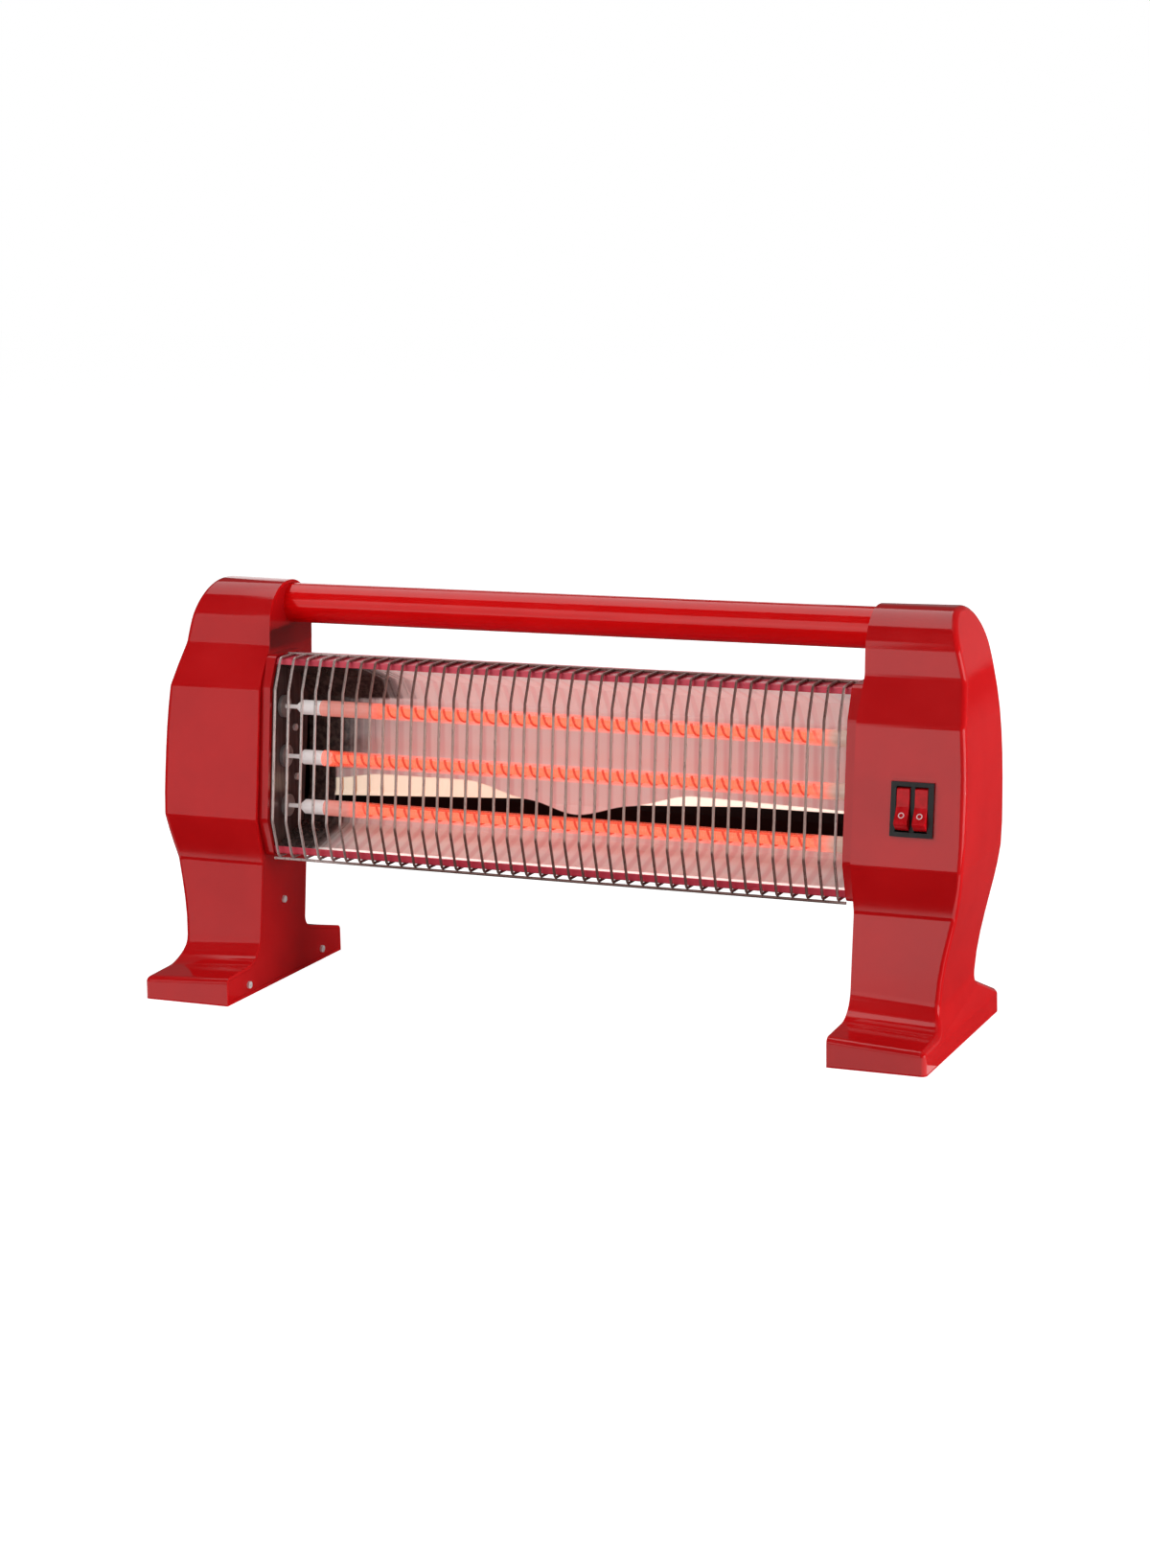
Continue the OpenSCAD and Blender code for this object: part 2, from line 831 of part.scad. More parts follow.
coil_rings = 8;
coil_sides = 6;
coil_start = tube_left + plug_depth;
coil_end = tube_right - plug_depth;
coil_r = (coil_d - coil_wire_d) / 2;
coil_len = coil_end - coil_start - 2 * coil_tail;
coil_points = concat(
    [[coil_start, coil_r, 0], [coil_start + coil_wire_d, coil_r, 0]],
    [
        for (i = [0:coil_turns * coil_rings])
            let (a = 360 * i / coil_rings, t = i / (coil_turns * coil_rings))
            [coil_start + coil_tail + coil_len * t, coil_r * cos(a), coil_r * sin(a)]
    ],
    [[coil_end - coil_wire_d, coil_r, 0], [coil_end, coil_r, 0]]
);

// Direction of the wire at point i, along the axis at both ends.
function heading(path, i) =
    i < 2 || i > len(path) - 3 ? [1, 0, 0] : unit(path[i + 1] - path[i - 1]);

function wire_ring(path, i) =
    let (
        d = heading(path, i),
        spoke = unit([0, path[i][1], path[i][2]]),
        out = unit(spoke - d * (spoke * d)),
        side = cross(d, out)
    )
    [
        for (k = [0:coil_sides - 1])
            let (a = 360 * k / coil_sides)
            path[i] + (out * cos(a) + side * sin(a)) * coil_wire_d / 2
    ];

function tube_faces(rings, sides) =
    concat(
        [[for (k = [0:sides - 1]) k]],
        [
            for (i = [0:rings - 2], k = [0:sides - 1])
                let (a = i * sides + k, b = i * sides + (k + 1) % sides)
                each [[a, b + sides, b], [a, a + sides, b + sides]]
        ],
        [[for (k = [sides - 1:-1:0]) (rings - 1) * sides + k]]
    );

// Least clear distance between the turns, measured on the wire's points.
coil_gap = min([
    for (i = [2:coil_rings + 2], j = [i + coil_rings - 2:i + coil_rings + 2])
        norm(coil_points[j] - coil_points[i])
]) - coil_wire_d;
echo(least_gap_between_turns = coil_gap);

module heating_coil(i) {
    color(glow)
        at_tube(i)
            polyhedron(
                points = [for (k = [0:len(coil_points) - 1]) each wire_ring(coil_points, k)],
                faces = tube_faces(len(coil_points), coil_sides)
            );
}

module coil_top() {
    heating_coil(2);
}

module coil_middle() {
    heating_coil(1);
}

module coil_bottom() {
    heating_coil(0);
}

// ---- Grille -------------------------------------------------------------------------------

wire_r = wire_d / 2;
leg_z = casing_top + rod_d / 2 + 0.05;
foot_rod_z = casing_bottom - rod_d / 2 - 0.05;
wire_out = collar_rim + wire_standoff - wire_r;
wire_path = [
    [top_leg + mouth_high[0] - wire_out, leg_z],
    [mouth_high[0] - wire_out, leg_z],
    [mouth_brow[0] - wire_out, mouth_brow[1]],
    [mouth_chin[0] - wire_out, mouth_chin[1]],
    [mouth_low[0] - wire_out, foot_rod_z],
    [mouth_low[0] - wire_out + bottom_leg, foot_rod_z]
];
bend_r = wire_bend + wire_r;

// A straight round bar in the YZ plane, from a to b.
module bar(a, b, d) {
    translate([0, a[0], a[1]])
        rotate([atan2(a[0] - b[0], b[1] - a[1]), 0, 0])
            cylinder(d = d, h = norm(b - a));
}

// Centre and ends of the bend at corner b.
function bend_reach(a, b, c) = bend_r / tan(acos(unit(a - b) * unit(c - b)) / 2);
function bend_centre(a, b, c) =
    let (u = unit(a - b), v = unit(c - b))
    b + unit(u + v) * bend_r / sin(acos(u * v) / 2);

// Round wire in the YZ plane along a path, with a bend at each inner point. The bends are a hair
// thinner than the straight bars and their ends stand inside them, so that the pieces join cleanly.
bend_slip = 0.02;
bend_lap = 5;

module bent_wire(path, d) {
    last = len(path) - 1;
    reach = [
        for (i = [0:last])
            i == 0 || i == last ? 0 : bend_reach(path[i - 1], path[i], path[i + 1])
    ];
    for (i = [0:last - 1]) {
        along = unit(path[i + 1] - path[i]);
        bar(path[i] + along * reach[i], path[i + 1] - along * reach[i + 1], d);
    }
    for (i = [1:last - 1]) {
        centre = bend_centre(path[i - 1], path[i], path[i + 1]);
        from = path[i] + unit(path[i - 1] - path[i]) * reach[i] - centre;
        to = path[i] + unit(path[i + 1] - path[i]) * reach[i] - centre;
        turn = atan2(cross2(from, to), from * to);
        first = turn > 0 ? atan2(from[1], from[0]) : atan2(to[1], to[0]);
        translate([0, centre[0], centre[1]])
            rotate([90, 0, 90])
                rotate_extrude(angle = abs(turn) + 2 * bend_lap, start = first - bend_lap)
                    translate([bend_r, 0])
                        circle(d = d - bend_slip);
    }
}

wire_first = -collar_x + wire_margin;
wire_pitch = -2 * wire_first / (wire_count - 1);

module grille_wires() {
    color(chrome)
        for (i = [0:wire_count - 1])
            translate([wire_first + i * wire_pitch, 0, 0])
                bent_wire(wire_path, wire_d);
}

// Rods: one at the end of each row of legs, and one under the bottom legs, just behind the bend.
weld_gap = 0.03;

rod_places = [
    wire_path[0] + [rod_d / 2 + weld_gap, 0],
    wire_path[4]
        + [bend_reach(wire_path[3], wire_path[4], wire_path[5]), -wire_r - weld_gap - rod_d / 2],
    wire_path[5] + [rod_d / 2 + weld_gap, 0]
];

module grille_rods() {
    color(chrome)
        for (p = rod_places)
            along_x(-collar_x, p[0], p[1], rod_d, 2 * collar_x);
}

// ---- Switch -------------------------------------------------------------------------------

window_w = rocker_w + 2 * rocker_clear;
window_h = 2 * (rocker_r + rocker_clear);
divider_t = 3;
divider_drop = 1.6;
rocker_x = (window_w + divider_t) / 2;
side_wall = (body_w - 2 * window_w - divider_t) / 2;
floor_t = 1.5;

module switch_housing() {
    color(dark)
        at_switch()
            difference() {
                union() {
                    translate([-switch_w / 2, -switch_t, -switch_h / 2])
                        cube([switch_w, switch_t, switch_h]);
                    translate([-body_w / 2, 0, -body_h / 2])
                        cube([body_w, switch_depth, body_h]);
                }
                for (side = [-1, 1])
                    translate([side * rocker_x - window_w / 2, -switch_t - 1, -window_h / 2])
                        cube([window_w, switch_t + 1 + switch_depth - floor_t, window_h]);
                translate([-rocker_x, -switch_t - 1, -window_h / 2])
                    cube([2 * rocker_x, 1 + divider_drop, window_h]);
                along_x(-body_w / 2 - 1, pivot_depth, 0, pivot_d + 2 * pivot_clear, body_w + 2);
            }
}

// Half angle of a rocker's ends above and below the level of its pivot.
end_angle = 38;
foot_angle = 8;
rocker_foot = 6;
stub_len = rocker_clear + divider_t / 2 - 0.1;

module rocker(place) {
    arc_steps = 8;
    upper = [
        for (i = [0:arc_steps])
            let (a = end_angle - (end_angle + foot_angle) * i / arc_steps)
            [pivot_depth - rocker_r * sin(a), rocker_r * cos(a)]
    ];
    lower = [for (i = [arc_steps:-1:0]) [upper[i][0], -upper[i][1]]];
    middle = [upper[0][0] + upper[0][1] * tan(rocker_tilt), 0];
    foot = [pivot_depth + rocker_foot, rocker_r / 2];
    side = concat([middle], upper, [foot, [foot[0], -foot[1]]], lower);
    at_switch()
        translate([place * rocker_x, pivot_depth, 0])
            rotate([-rocker_tilt, 0, 0]) {
                translate([0, -pivot_depth, 0])
                    slab(-rocker_w / 2, rocker_w, side);
                along_x(-rocker_w / 2 - stub_len, 0, 0, pivot_d, rocker_w + 2 * stub_len);
            }
}

module rocker_left() {
    color([0.7, 0.02, 0.04])
        rocker(-1);
}

module rocker_right() {
    color([0.7, 0.02, 0.04])
        rocker(1);
}

blade = [0.8, 8, 4.8];
blade_z = body_h / 4;

module switch_terminals() {
    color([0.8, 0.7, 0.4])
        at_switch()
            for (side = [-1, 1], z = [-1, 1])
                translate([side * rocker_x, switch_depth, z * blade_z] - [blade[0], 0, blade[2]] / 2)
                    cube(blade);
}

// ---- Wiring pieces in the right column ----------------------------------------------------

block = [14, 24, 14];
block_z = skirt_z - block[2] / 2;

module terminal_block() {
    color(ceramic)
        translate([inner_x + panel_t, 0, block_z])
            difference() {
                translate([0, -block[1] / 2, 0])
                    cube(block);
                for (side = [-1, 1])
                    along_x(-1, side * block[1] / 4, block[2] / 2, pin_d, block[0] + 2);
            }
}

tilt_size = [12, 22, 12];

module tilt_switch() {
    color(dark)
        translate([inner_x + panel_t, -tilt_size[1] / 2, 2 * boss_d])
            cube(tilt_size);
}

module cord_grommet() {
    color(dark)
        translate([inner_x + inlet_x, inlet_face, inlet_z])
            rotate([90, 0, 0])
                difference() {
                    union() {
                        translate([0, 0, -2.5])
                            cylinder(d = inlet_flange_d, h = 2.5);
                        cylinder(d = inlet_d - 2 * fit, h = inlet_boss + wall);
                    }
                    translate([0, 0, -4])
                        cylinder(d = inlet_bore, h = inlet_boss + wall + 6);
                }
}

left_shell();
left_inner_panel();
left_panel_screws();
right_shell();
right_inner_panel();
right_panel_screws();
carry_handle();
handle_plugs();
handle_bolts();
rear_casing();
reflector();
left_end_plate();
right_end_plate();
end_plate_screws();
tube_top();
tube_middle();
tube_bottom();
coil_top();
coil_middle();
coil_bottom();
left_tube_caps();
right_tube_caps();
left_bushings();
right_bushings();
grille_wires();
grille_rods();
switch_housing();
rocker_left();
rocker_right();
switch_terminals();
terminal_block();
tilt_switch();
cord_grommet();
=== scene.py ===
from math import cos, pi, radians, sin, tan

import bmesh
import bpy
from mathutils import Matrix, Vector


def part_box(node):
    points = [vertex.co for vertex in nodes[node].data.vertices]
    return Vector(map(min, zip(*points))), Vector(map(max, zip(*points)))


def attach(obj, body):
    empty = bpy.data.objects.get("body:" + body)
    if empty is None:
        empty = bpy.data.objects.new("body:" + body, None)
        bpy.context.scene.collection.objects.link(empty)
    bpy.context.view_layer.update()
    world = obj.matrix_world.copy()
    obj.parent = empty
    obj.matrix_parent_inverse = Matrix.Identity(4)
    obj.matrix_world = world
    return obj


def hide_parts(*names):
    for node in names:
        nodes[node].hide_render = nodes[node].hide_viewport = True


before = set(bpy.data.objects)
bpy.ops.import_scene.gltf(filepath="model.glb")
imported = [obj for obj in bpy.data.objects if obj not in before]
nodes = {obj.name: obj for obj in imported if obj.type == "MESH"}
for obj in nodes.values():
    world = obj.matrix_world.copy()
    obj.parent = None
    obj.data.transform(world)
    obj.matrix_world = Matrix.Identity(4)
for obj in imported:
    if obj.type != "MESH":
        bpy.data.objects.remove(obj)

mm = 0.001
scene = bpy.context.scene
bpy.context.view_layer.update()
print("frame loaded:", len(nodes), "CAD nodes")

# camera
cameraSet = {
    "spot": (0.8161, -1.8723, 0.5553),  # metres
    "yaw": 23.2956,                     # degrees, to the left of straight ahead
    "pitch": -11.153,
    "roll": -0.9493,
    "lens": 71.206,                     # mm, on a 36 mm long side
}


def placeCamera():
    data = bpy.data.cameras.new("studioCamera")
    data.lens = cameraSet["lens"]
    camera = bpy.data.objects.new("studioCamera", data)
    scene.collection.objects.link(camera)
    turn = (Matrix.Rotation(radians(cameraSet["yaw"]), 4, "Z")
            @ Matrix.Rotation(radians(90 + cameraSet["pitch"]), 4, "X")
            @ Matrix.Rotation(radians(cameraSet["roll"]), 4, "Z"))
    camera.matrix_world = Matrix.Translation(cameraSet["spot"]) @ turn
    scene.camera = camera


placeCamera()
scene.view_settings.view_transform = "Standard"
print("camera placed")

# node helpers
floatKind, vectorKind = "NodeSocketFloat", "NodeSocketVector"


def startGroup(name, given, handed):
    group = bpy.data.node_groups.new(name, "ShaderNodeTree")
    for label, kind, value in given:
        socket = group.interface.new_socket(name=label, in_out="INPUT", socket_type=kind)
        socket.default_value = value
    for label, kind in handed:
        group.interface.new_socket(name=label, in_out="OUTPUT", socket_type=kind)
    source = group.nodes.new("NodeGroupInput")
    return group, source.outputs, group.nodes.new("NodeGroupOutput").inputs


def feed(tree, socket, value):
    if hasattr(value, "is_output"):
        tree.links.new(value, socket)
    else:
        socket.default_value = value


def maths(tree, operation, *values):
    node = tree.nodes.new("ShaderNodeMath")
    node.operation = operation
    for socket, value in zip(node.inputs, values):
        feed(tree, socket, value)
    return node.outputs[0]


def spread(tree, value, low, high, outLow=0.0, outHigh=1.0, ease=True):
    node = tree.nodes.new("ShaderNodeMapRange")
    node.interpolation_type = "SMOOTHSTEP" if ease else "LINEAR"
    for socket, item in zip(node.inputs, (value, low, high, outLow, outHigh)):
        feed(tree, socket, item)
    return node.outputs[0]


def between(tree, share, first, second):
    return spread(tree, share, 0, 1, first, second, ease=False)


def noise(tree, vector, scale, detail=2.0, rough=0.5):
    node = tree.nodes.new("ShaderNodeTexNoise")
    settings = {"Vector": vector, "Scale": scale, "Detail": detail, "Roughness": rough}
    for label, value in settings.items():
        feed(tree, node.inputs[label], value)
    return node.outputs["Fac"]


def blendColours(tree, mask, first, second):
    node = tree.nodes.new("ShaderNodeMix")
    node.data_type = "RGBA"
    for index, value in ((0, mask), (6, first), (7, second)):   # the colour sockets are 6 and 7
        feed(tree, node.inputs[index], value)
    return node.outputs[2]


def objectPlace(tree):
    return tree.nodes.new("ShaderNodeTexCoord").outputs["Object"]


def splitPlace(tree):
    node = tree.nodes.new("ShaderNodeSeparateXYZ")
    tree.links.new(objectPlace(tree), node.inputs[0])
    return node.outputs


# effects that several materials share
breakupInputs = [
    ("blotchScale", floatKind, 18), ("grainScale", floatKind, 900), ("grainShare", floatKind, 0.3),
    ("roughLow", floatKind, 0.2), ("roughHigh", floatKind, 0.3)]
streakInputs = [
    ("stretch", vectorKind, (1, 1, 1)), ("streakScale", floatKind, 200),
    ("roughLow", floatKind, 0.1), ("roughHigh", floatKind, 0.2)]
skinOutputs = [("roughness", floatKind), ("height", floatKind), ("mask", floatKind)]
heatInputs = [
    ("coldLeft", floatKind, -0.16), ("hotLeft", floatKind, -0.13),
    ("hotRight", floatKind, 0.17), ("coldRight", floatKind, 0.19),
    ("middleShift", floatKind, 0), ("topShift", floatKind, 0)]
aboveTube = {"bottom": (0.140, 0.147), "middle": (0.175, 0.182)}   # heights between tubes, metres


def surfaceBreakupGroup():
    group, given, handed = startGroup("surfaceBreakup", breakupInputs, skinOutputs)
    place = objectPlace(group)
    blotch = noise(group, place, given["blotchScale"], 4, 0.55)
    grain = noise(group, place, given["grainScale"], 2)
    mask = spread(group, blotch, 0.3, 0.7)
    feed(group, handed["mask"], mask)
    feed(group, handed["roughness"], between(group, mask, given["roughLow"], given["roughHigh"]))
    feed(group, handed["height"], maths(group, "MULTIPLY_ADD", grain, given["grainShare"], blotch))
    return group


def drawnStreaksGroup():
    group, given, handed = startGroup("drawnStreaks", streakInputs, skinOutputs)
    scaled = group.nodes.new("ShaderNodeVectorMath")
    scaled.operation = "MULTIPLY"
    feed(group, scaled.inputs[0], objectPlace(group))
    feed(group, scaled.inputs[1], given["stretch"])
    streak = noise(group, scaled.outputs[0], given["streakScale"], 3, 0.6)
    mask = spread(group, streak, 0.32, 0.68)
    feed(group, handed["mask"], mask)
    feed(group, handed["height"], streak)
    feed(group, handed["roughness"], between(group, mask, given["roughLow"], given["roughHigh"]))
    return group


def hotZoneGroup():
    group, given, handed = startGroup("hotZone", heatInputs, [("heat", floatKind)])
    place = splitPlace(group)
    x, z = place["X"], place["Z"]
    shift = maths(group, "ADD", spread(group, z, *aboveTube["bottom"], 0, given["middleShift"]),
                  spread(group, z, *aboveTube["middle"], 0, given["topShift"]))
    rise = spread(group, maths(group, "SUBTRACT", x, shift), given["coldLeft"], given["hotLeft"])
    fall = spread(group, x, given["hotRight"], given["coldRight"], 1, 0)
    feed(group, handed["heat"], maths(group, "MULTIPLY", rise, fall))
    return group


surfaceBreakup = surfaceBreakupGroup()
drawnStreaks = drawnStreaksGroup()
hotZone = hotZoneGroup()


# materials
def useGroup(tree, group, **values):
    node = tree.nodes.new("ShaderNodeGroup")
    node.node_tree = group
    for label, value in values.items():
        feed(tree, node.inputs[label], value)
    return node.outputs


def startMaterial(name, **plain):
    material = bpy.data.materials.new(name)
    material.use_nodes = True
    tree = material.node_tree
    shader = tree.nodes["Principled BSDF"]
    for label, value in plain.items():
        shader.inputs[label.replace("_", " ")].default_value = value
    return material, tree, shader.inputs


def bumpFrom(tree, sockets, height, strength, distance):
    node = tree.nodes.new("ShaderNodeBump")
    node.inputs["Strength"].default_value = strength
    node.inputs["Distance"].default_value = distance
    feed(tree, node.inputs["Height"], height)
    feed(tree, sockets["Normal"], node.outputs["Normal"])


plasticBump, metalBump = 0.4 * mm, 0.3 * mm    # how deep the bumps go
black = (0, 0, 0, 1)


def dressSkin(tree, sockets, skin, settings, depth):
    colour = blendColours(tree, skin["mask"], settings["deep"], settings["light"])
    feed(tree, sockets["Base Color"], colour)
    feed(tree, sockets["Roughness"], skin["roughness"])
    bumpFrom(tree, sockets, skin["height"], settings["bump"], depth)


def mouldedPlastic(name, settings):
    material, tree, sockets = startMaterial(
        name, IOR=settings.get("ior", 1.5), Emission_Color=settings.get("paintedGlow", black),
        Emission_Strength=1.0)
    low, high = settings["rough"]
    skin = useGroup(tree, surfaceBreakup, blotchScale=settings["blotch"],
                    grainScale=settings["grain"], grainShare=settings["grainShare"],
                    roughLow=low, roughHigh=high)
    dressSkin(tree, sockets, skin, settings, settings.get("bumpDepth", plasticBump))
    return material


def drawnMetal(name, settings):
    material, tree, sockets = startMaterial(name, Metallic=settings.get("metal", 1.0))
    low, high = settings["rough"]
    skin = useGroup(tree, drawnStreaks, stretch=settings["stretch"],
                    streakScale=settings["scale"], roughLow=low, roughHigh=high)
    dressSkin(tree, sockets, skin, settings, metalBump)
    return material


shellPlastic = mouldedPlastic("glossyRedShell", {
    "deep": (0.62, 0.006, 0.008, 1), "light": (0.70, 0.008, 0.010, 1), "rough": (0.07, 0.10),
    "blotch": 14, "grain": 1400, "grainShare": 0.12, "bump": 0.06})
panelPlastic = mouldedPlastic("redInnerPanel", {
    "deep": (0.56, 0.006, 0.008, 1), "light": (0.64, 0.008, 0.010, 1), "rough": (0.10, 0.14),
    "blotch": 16, "grain": 1400, "grainShare": 0.15, "bump": 0.06})
handlePaint = mouldedPlastic("handleEnamel", {
    "deep": (0.92, 0.004, 0.005, 1), "light": (0.97, 0.005, 0.006, 1), "rough": (0.07, 0.10),
    "blotch": 22, "grain": 500, "grainShare": 0.3, "bump": 0.08})
casingPaint = mouldedPlastic("casingEnamel", {
    "deep": (0.84, 0.060, 0.105, 1), "light": (0.90, 0.075, 0.125, 1), "rough": (0.26, 0.34),
    "blotch": 20, "grain": 600, "grainShare": 0.4, "bump": 0.10})
switchPlastic = mouldedPlastic("switchBlack", {
    "deep": (0.012, 0.012, 0.012, 1), "light": (0.02, 0.02, 0.019, 1), "rough": (0.28, 0.38),
    "blotch": 60, "grain": 2600, "grainShare": 0.6, "bump": 0.25})
blackPlastic = mouldedPlastic("blackPlastic", {
    "deep": (0.014, 0.014, 0.014, 1), "light": (0.024, 0.024, 0.024, 1), "rough": (0.36, 0.48),
    "blotch": 60, "grain": 2200, "grainShare": 0.6, "bump": 0.25})
blackRubber = mouldedPlastic("blackRubber", {
    "deep": (0.018, 0.018, 0.018, 1), "light": (0.03, 0.03, 0.03, 1), "rough": (0.55, 0.7),
    "blotch": 80, "grain": 2400, "grainShare": 0.8, "bump": 0.3})
ceramicSet = {
    "deep": (0.92, 0.87, 0.86, 1), "light": (0.98, 0.95, 0.94, 1), "rough": (0.16, 0.26),
    "blotch": 90, "grain": 2400, "grainShare": 0.5, "bump": 0.2}
whiteCeramic = mouldedPlastic("whiteCeramic", ceramicSet)
# the tube caps carry a painted glow through Emission, which makes them lighter
capCeramic = mouldedPlastic("capCeramic", {**ceramicSet, "paintedGlow": (0.20, 0.17, 0.165, 1)})
greyCeramic = mouldedPlastic("greyCeramic", {
    "deep": (0.26, 0.22, 0.215, 1), "light": (0.36, 0.31, 0.30, 1), "rough": (0.36, 0.5),
    "blotch": 90, "grain": 2400, "grainShare": 0.7, "bump": 0.3})
rockerPlastic = mouldedPlastic("rockerRed", {
    "deep": (0.58, 0.004, 0.008, 1), "light": (0.74, 0.008, 0.016, 1), "rough": (0.10, 0.16),
    "blotch": 160, "grain": 3000, "grainShare": 0.2, "bump": 0.1, "bumpDepth": 0.3 * mm,
    "ior": 1.32})
markPaint = mouldedPlastic("ringMarkPaint", {
    "deep": (0.84, 0.60, 0.60, 1), "light": (0.92, 0.72, 0.72, 1), "rough": (0.4, 0.5),
    "blotch": 300, "grain": 3000, "grainShare": 0.3, "bump": 0.1})
screwSteel = drawnMetal("zincScrew", {
    "deep": (0.88, 0.82, 0.81, 1), "light": (0.97, 0.93, 0.92, 1), "rough": (0.26, 0.38),
    "metal": 0.25, "stretch": (1, 1, 1), "scale": 700, "bump": 0.1})
plateMetal = drawnMetal("endPlateMirror", {
    "deep": (0.13, 0.09, 0.088, 1), "light": (0.22, 0.16, 0.155, 1), "rough": (0.16, 0.24),
    "metal": 0.4, "stretch": (1, 1, 0.05), "scale": 260, "bump": 0.12})
brassMetal = drawnMetal("brassBlade", {
    "deep": (0.55, 0.38, 0.16, 1), "light": (0.72, 0.52, 0.24, 1), "rough": (0.25, 0.4),
    "stretch": (1, 0.1, 1), "scale": 500, "bump": 0.1})

# the wires take a darker, pinker tone along the glowing stretch, and are darker and browner on the
# slopes above and below the middle, most of all along the glowing stretch
wireSet = {
    "pale": (0.80, 0.70, 0.67, 1), "paleDeep": (0.68, 0.58, 0.55, 1),
    "glowStretchTone": (0.60, 0.42, 0.37, 1), "slopeTone": (0.26, 0.14, 0.12, 1),
    "rough": (0.26, 0.36), "metal": 0.5, "stretch": (1, 1, 0.08), "scale": 900, "bump": 0.08,
    "middle": 0.1625, "slopeFade": (0.0395, 0.0425),    # distance from the middle, metres
    "slopeShare": (0.20, 1.0),                      # on the cold and on the hot wires
    "zone": {"coldLeft": -0.178, "hotLeft": -0.120, "hotRight": 0.19, "coldRight": 0.22},
}


def wireSteelMaterial():
    look = wireSet
    material, tree, sockets = startMaterial("brightWire", Metallic=look["metal"])
    skin = useGroup(tree, drawnStreaks, stretch=look["stretch"], streakScale=look["scale"],
                    roughLow=look["rough"][0], roughHigh=look["rough"][1])
    heat = useGroup(tree, hotZone, **look["zone"])["heat"]
    above = maths(tree, "SUBTRACT", splitPlace(tree)["Z"], look["middle"])
    fromMiddle = maths(tree, "ABSOLUTE", above)
    slopeMask = maths(tree, "MULTIPLY", spread(tree, fromMiddle, *look["slopeFade"]),
                  between(tree, heat, *look["slopeShare"]))
    steel = blendColours(tree, skin["mask"], look["paleDeep"], look["pale"])
    steel = blendColours(tree, heat, steel, look["glowStretchTone"])
    feed(tree, sockets["Base Color"], blendColours(tree, slopeMask, steel, look["slopeTone"]))
    feed(tree, sockets["Roughness"], skin["roughness"])
    bumpFrom(tree, sockets, skin["height"], look["bump"], metalBump)
    return material


wireSteel = wireSteelMaterial()

# the reflector sheet carries painted light: a cream painted reflection (paintedLight), a band of
# painted dark reflection (dark), a painted dim reflection at the left end, painted wire
# reflections, and painted highlights through Emission (glow, upperGlow, rightGlow, edgeGlow)
reflectorSet = {
    "satin": (0.96, 0.92, 0.90, 1), "satinRough": 0.34, "satinMetal": 0.15,
    "paintedLight": (1.0, 0.92, 0.72, 1), "paintedLightRough": 0.36, "paintedLightMetal": 0.0,
    "dark": (0.010, 0.008, 0.008, 1), "darkMetal": 1.0,
    "paintedDim": (0.13, 0.10, 0.09, 1), "paintedDimDeep": (0.055, 0.042, 0.040, 1),
    "paintedDimRough": 0.10, "paintedDimMetal": 0.35,
    "stretch": (1, 0.04, 0.04), "scale": 160, "addedRough": (0.0, 0.05),
    "glow": 0.42, "upperGlow": (0.34, 0.36, 0.36, 1), "upperGlowFrom": (0.194, 0.200),
    "rightGlow": (1.8, 1.6, 1.4, 1), "rightGlowFrom": (0.0, 0.06),
    "edgeGlow": (1.6, 1.4, 1.3, 1), "edgeDepth": (2.2 * mm, 3.0 * mm, 1, 0),
    "edgeHead": (0.110, 0.112, 1, 0),
    "rippleScale": 9, "streakShare": 0.02, "bump": 0.25, "bumpDepth": 4 * mm,
}
# the painted reflection strip: a cream lens of painted reflected light over a band of painted dark
# reflection, both dipping near the middle, metres;
# of four numbers, the last two are taken off the top from the first place to the second
stripSet = {
    "dipAt": -0.001, "end": (-0.1872, -0.1848), "foot": (0.1190, 0.1200),
    "lensTop": 0.1446, "lensDip": (0.036, 0.085, 0.0104, 0), "lensBlur": 0.4 * mm,
    "lensLeft": (-0.189, -0.150, 0.0045, 0), "lensRight": (0.05, 0.20, 0, 0.0042, False),
    "bandTop": 0.1345, "bandDip": (0, 0.041, 0.0078, 0), "bandBlur": 0.3 * mm,
    "bandLeft": (-0.190, -0.040, 0.0065, 0, False), "bandRight": (0.03, 0.12, 0, -0.0045, False),
}
# painted reflections of the wires, at the wires' pitch: faint upright bars on the satin and brown
# lines in the cream lens
barSet = {
    "pitch": 0.0105, "colour": (0.86, 0.68, 0.68, 1), "start": 0.00943, "edge": (-0.4, 1.0),
    "broken": (0, 1, 0.7, 1), "wireReflectionColour": (0.42, 0.17, 0.09, 1), "wireReflectionStart": 0.00558,
    "wireReflectionEdge": (0.93, 0.985), "wireReflectionFade": (-0.10, -0.05, 1, 0),
}
# painted dim reflection at the left end, above and below the painted reflection strip
paintedDimSet = {
    "mottle": 260, "mottleEdge": (0.35, 0.65), "ragged": 0.03,
    "upperEnd": (-0.165, -0.128, 1, 0), "upperFoot": (0.146, 0.150),
    "crest": (0.196, 0.200, 0, 0.030),
    "lowerEnd": (-0.172, -0.140, 1, 0), "lowerHead": (0.117, 0.1195, 1, 0),
}


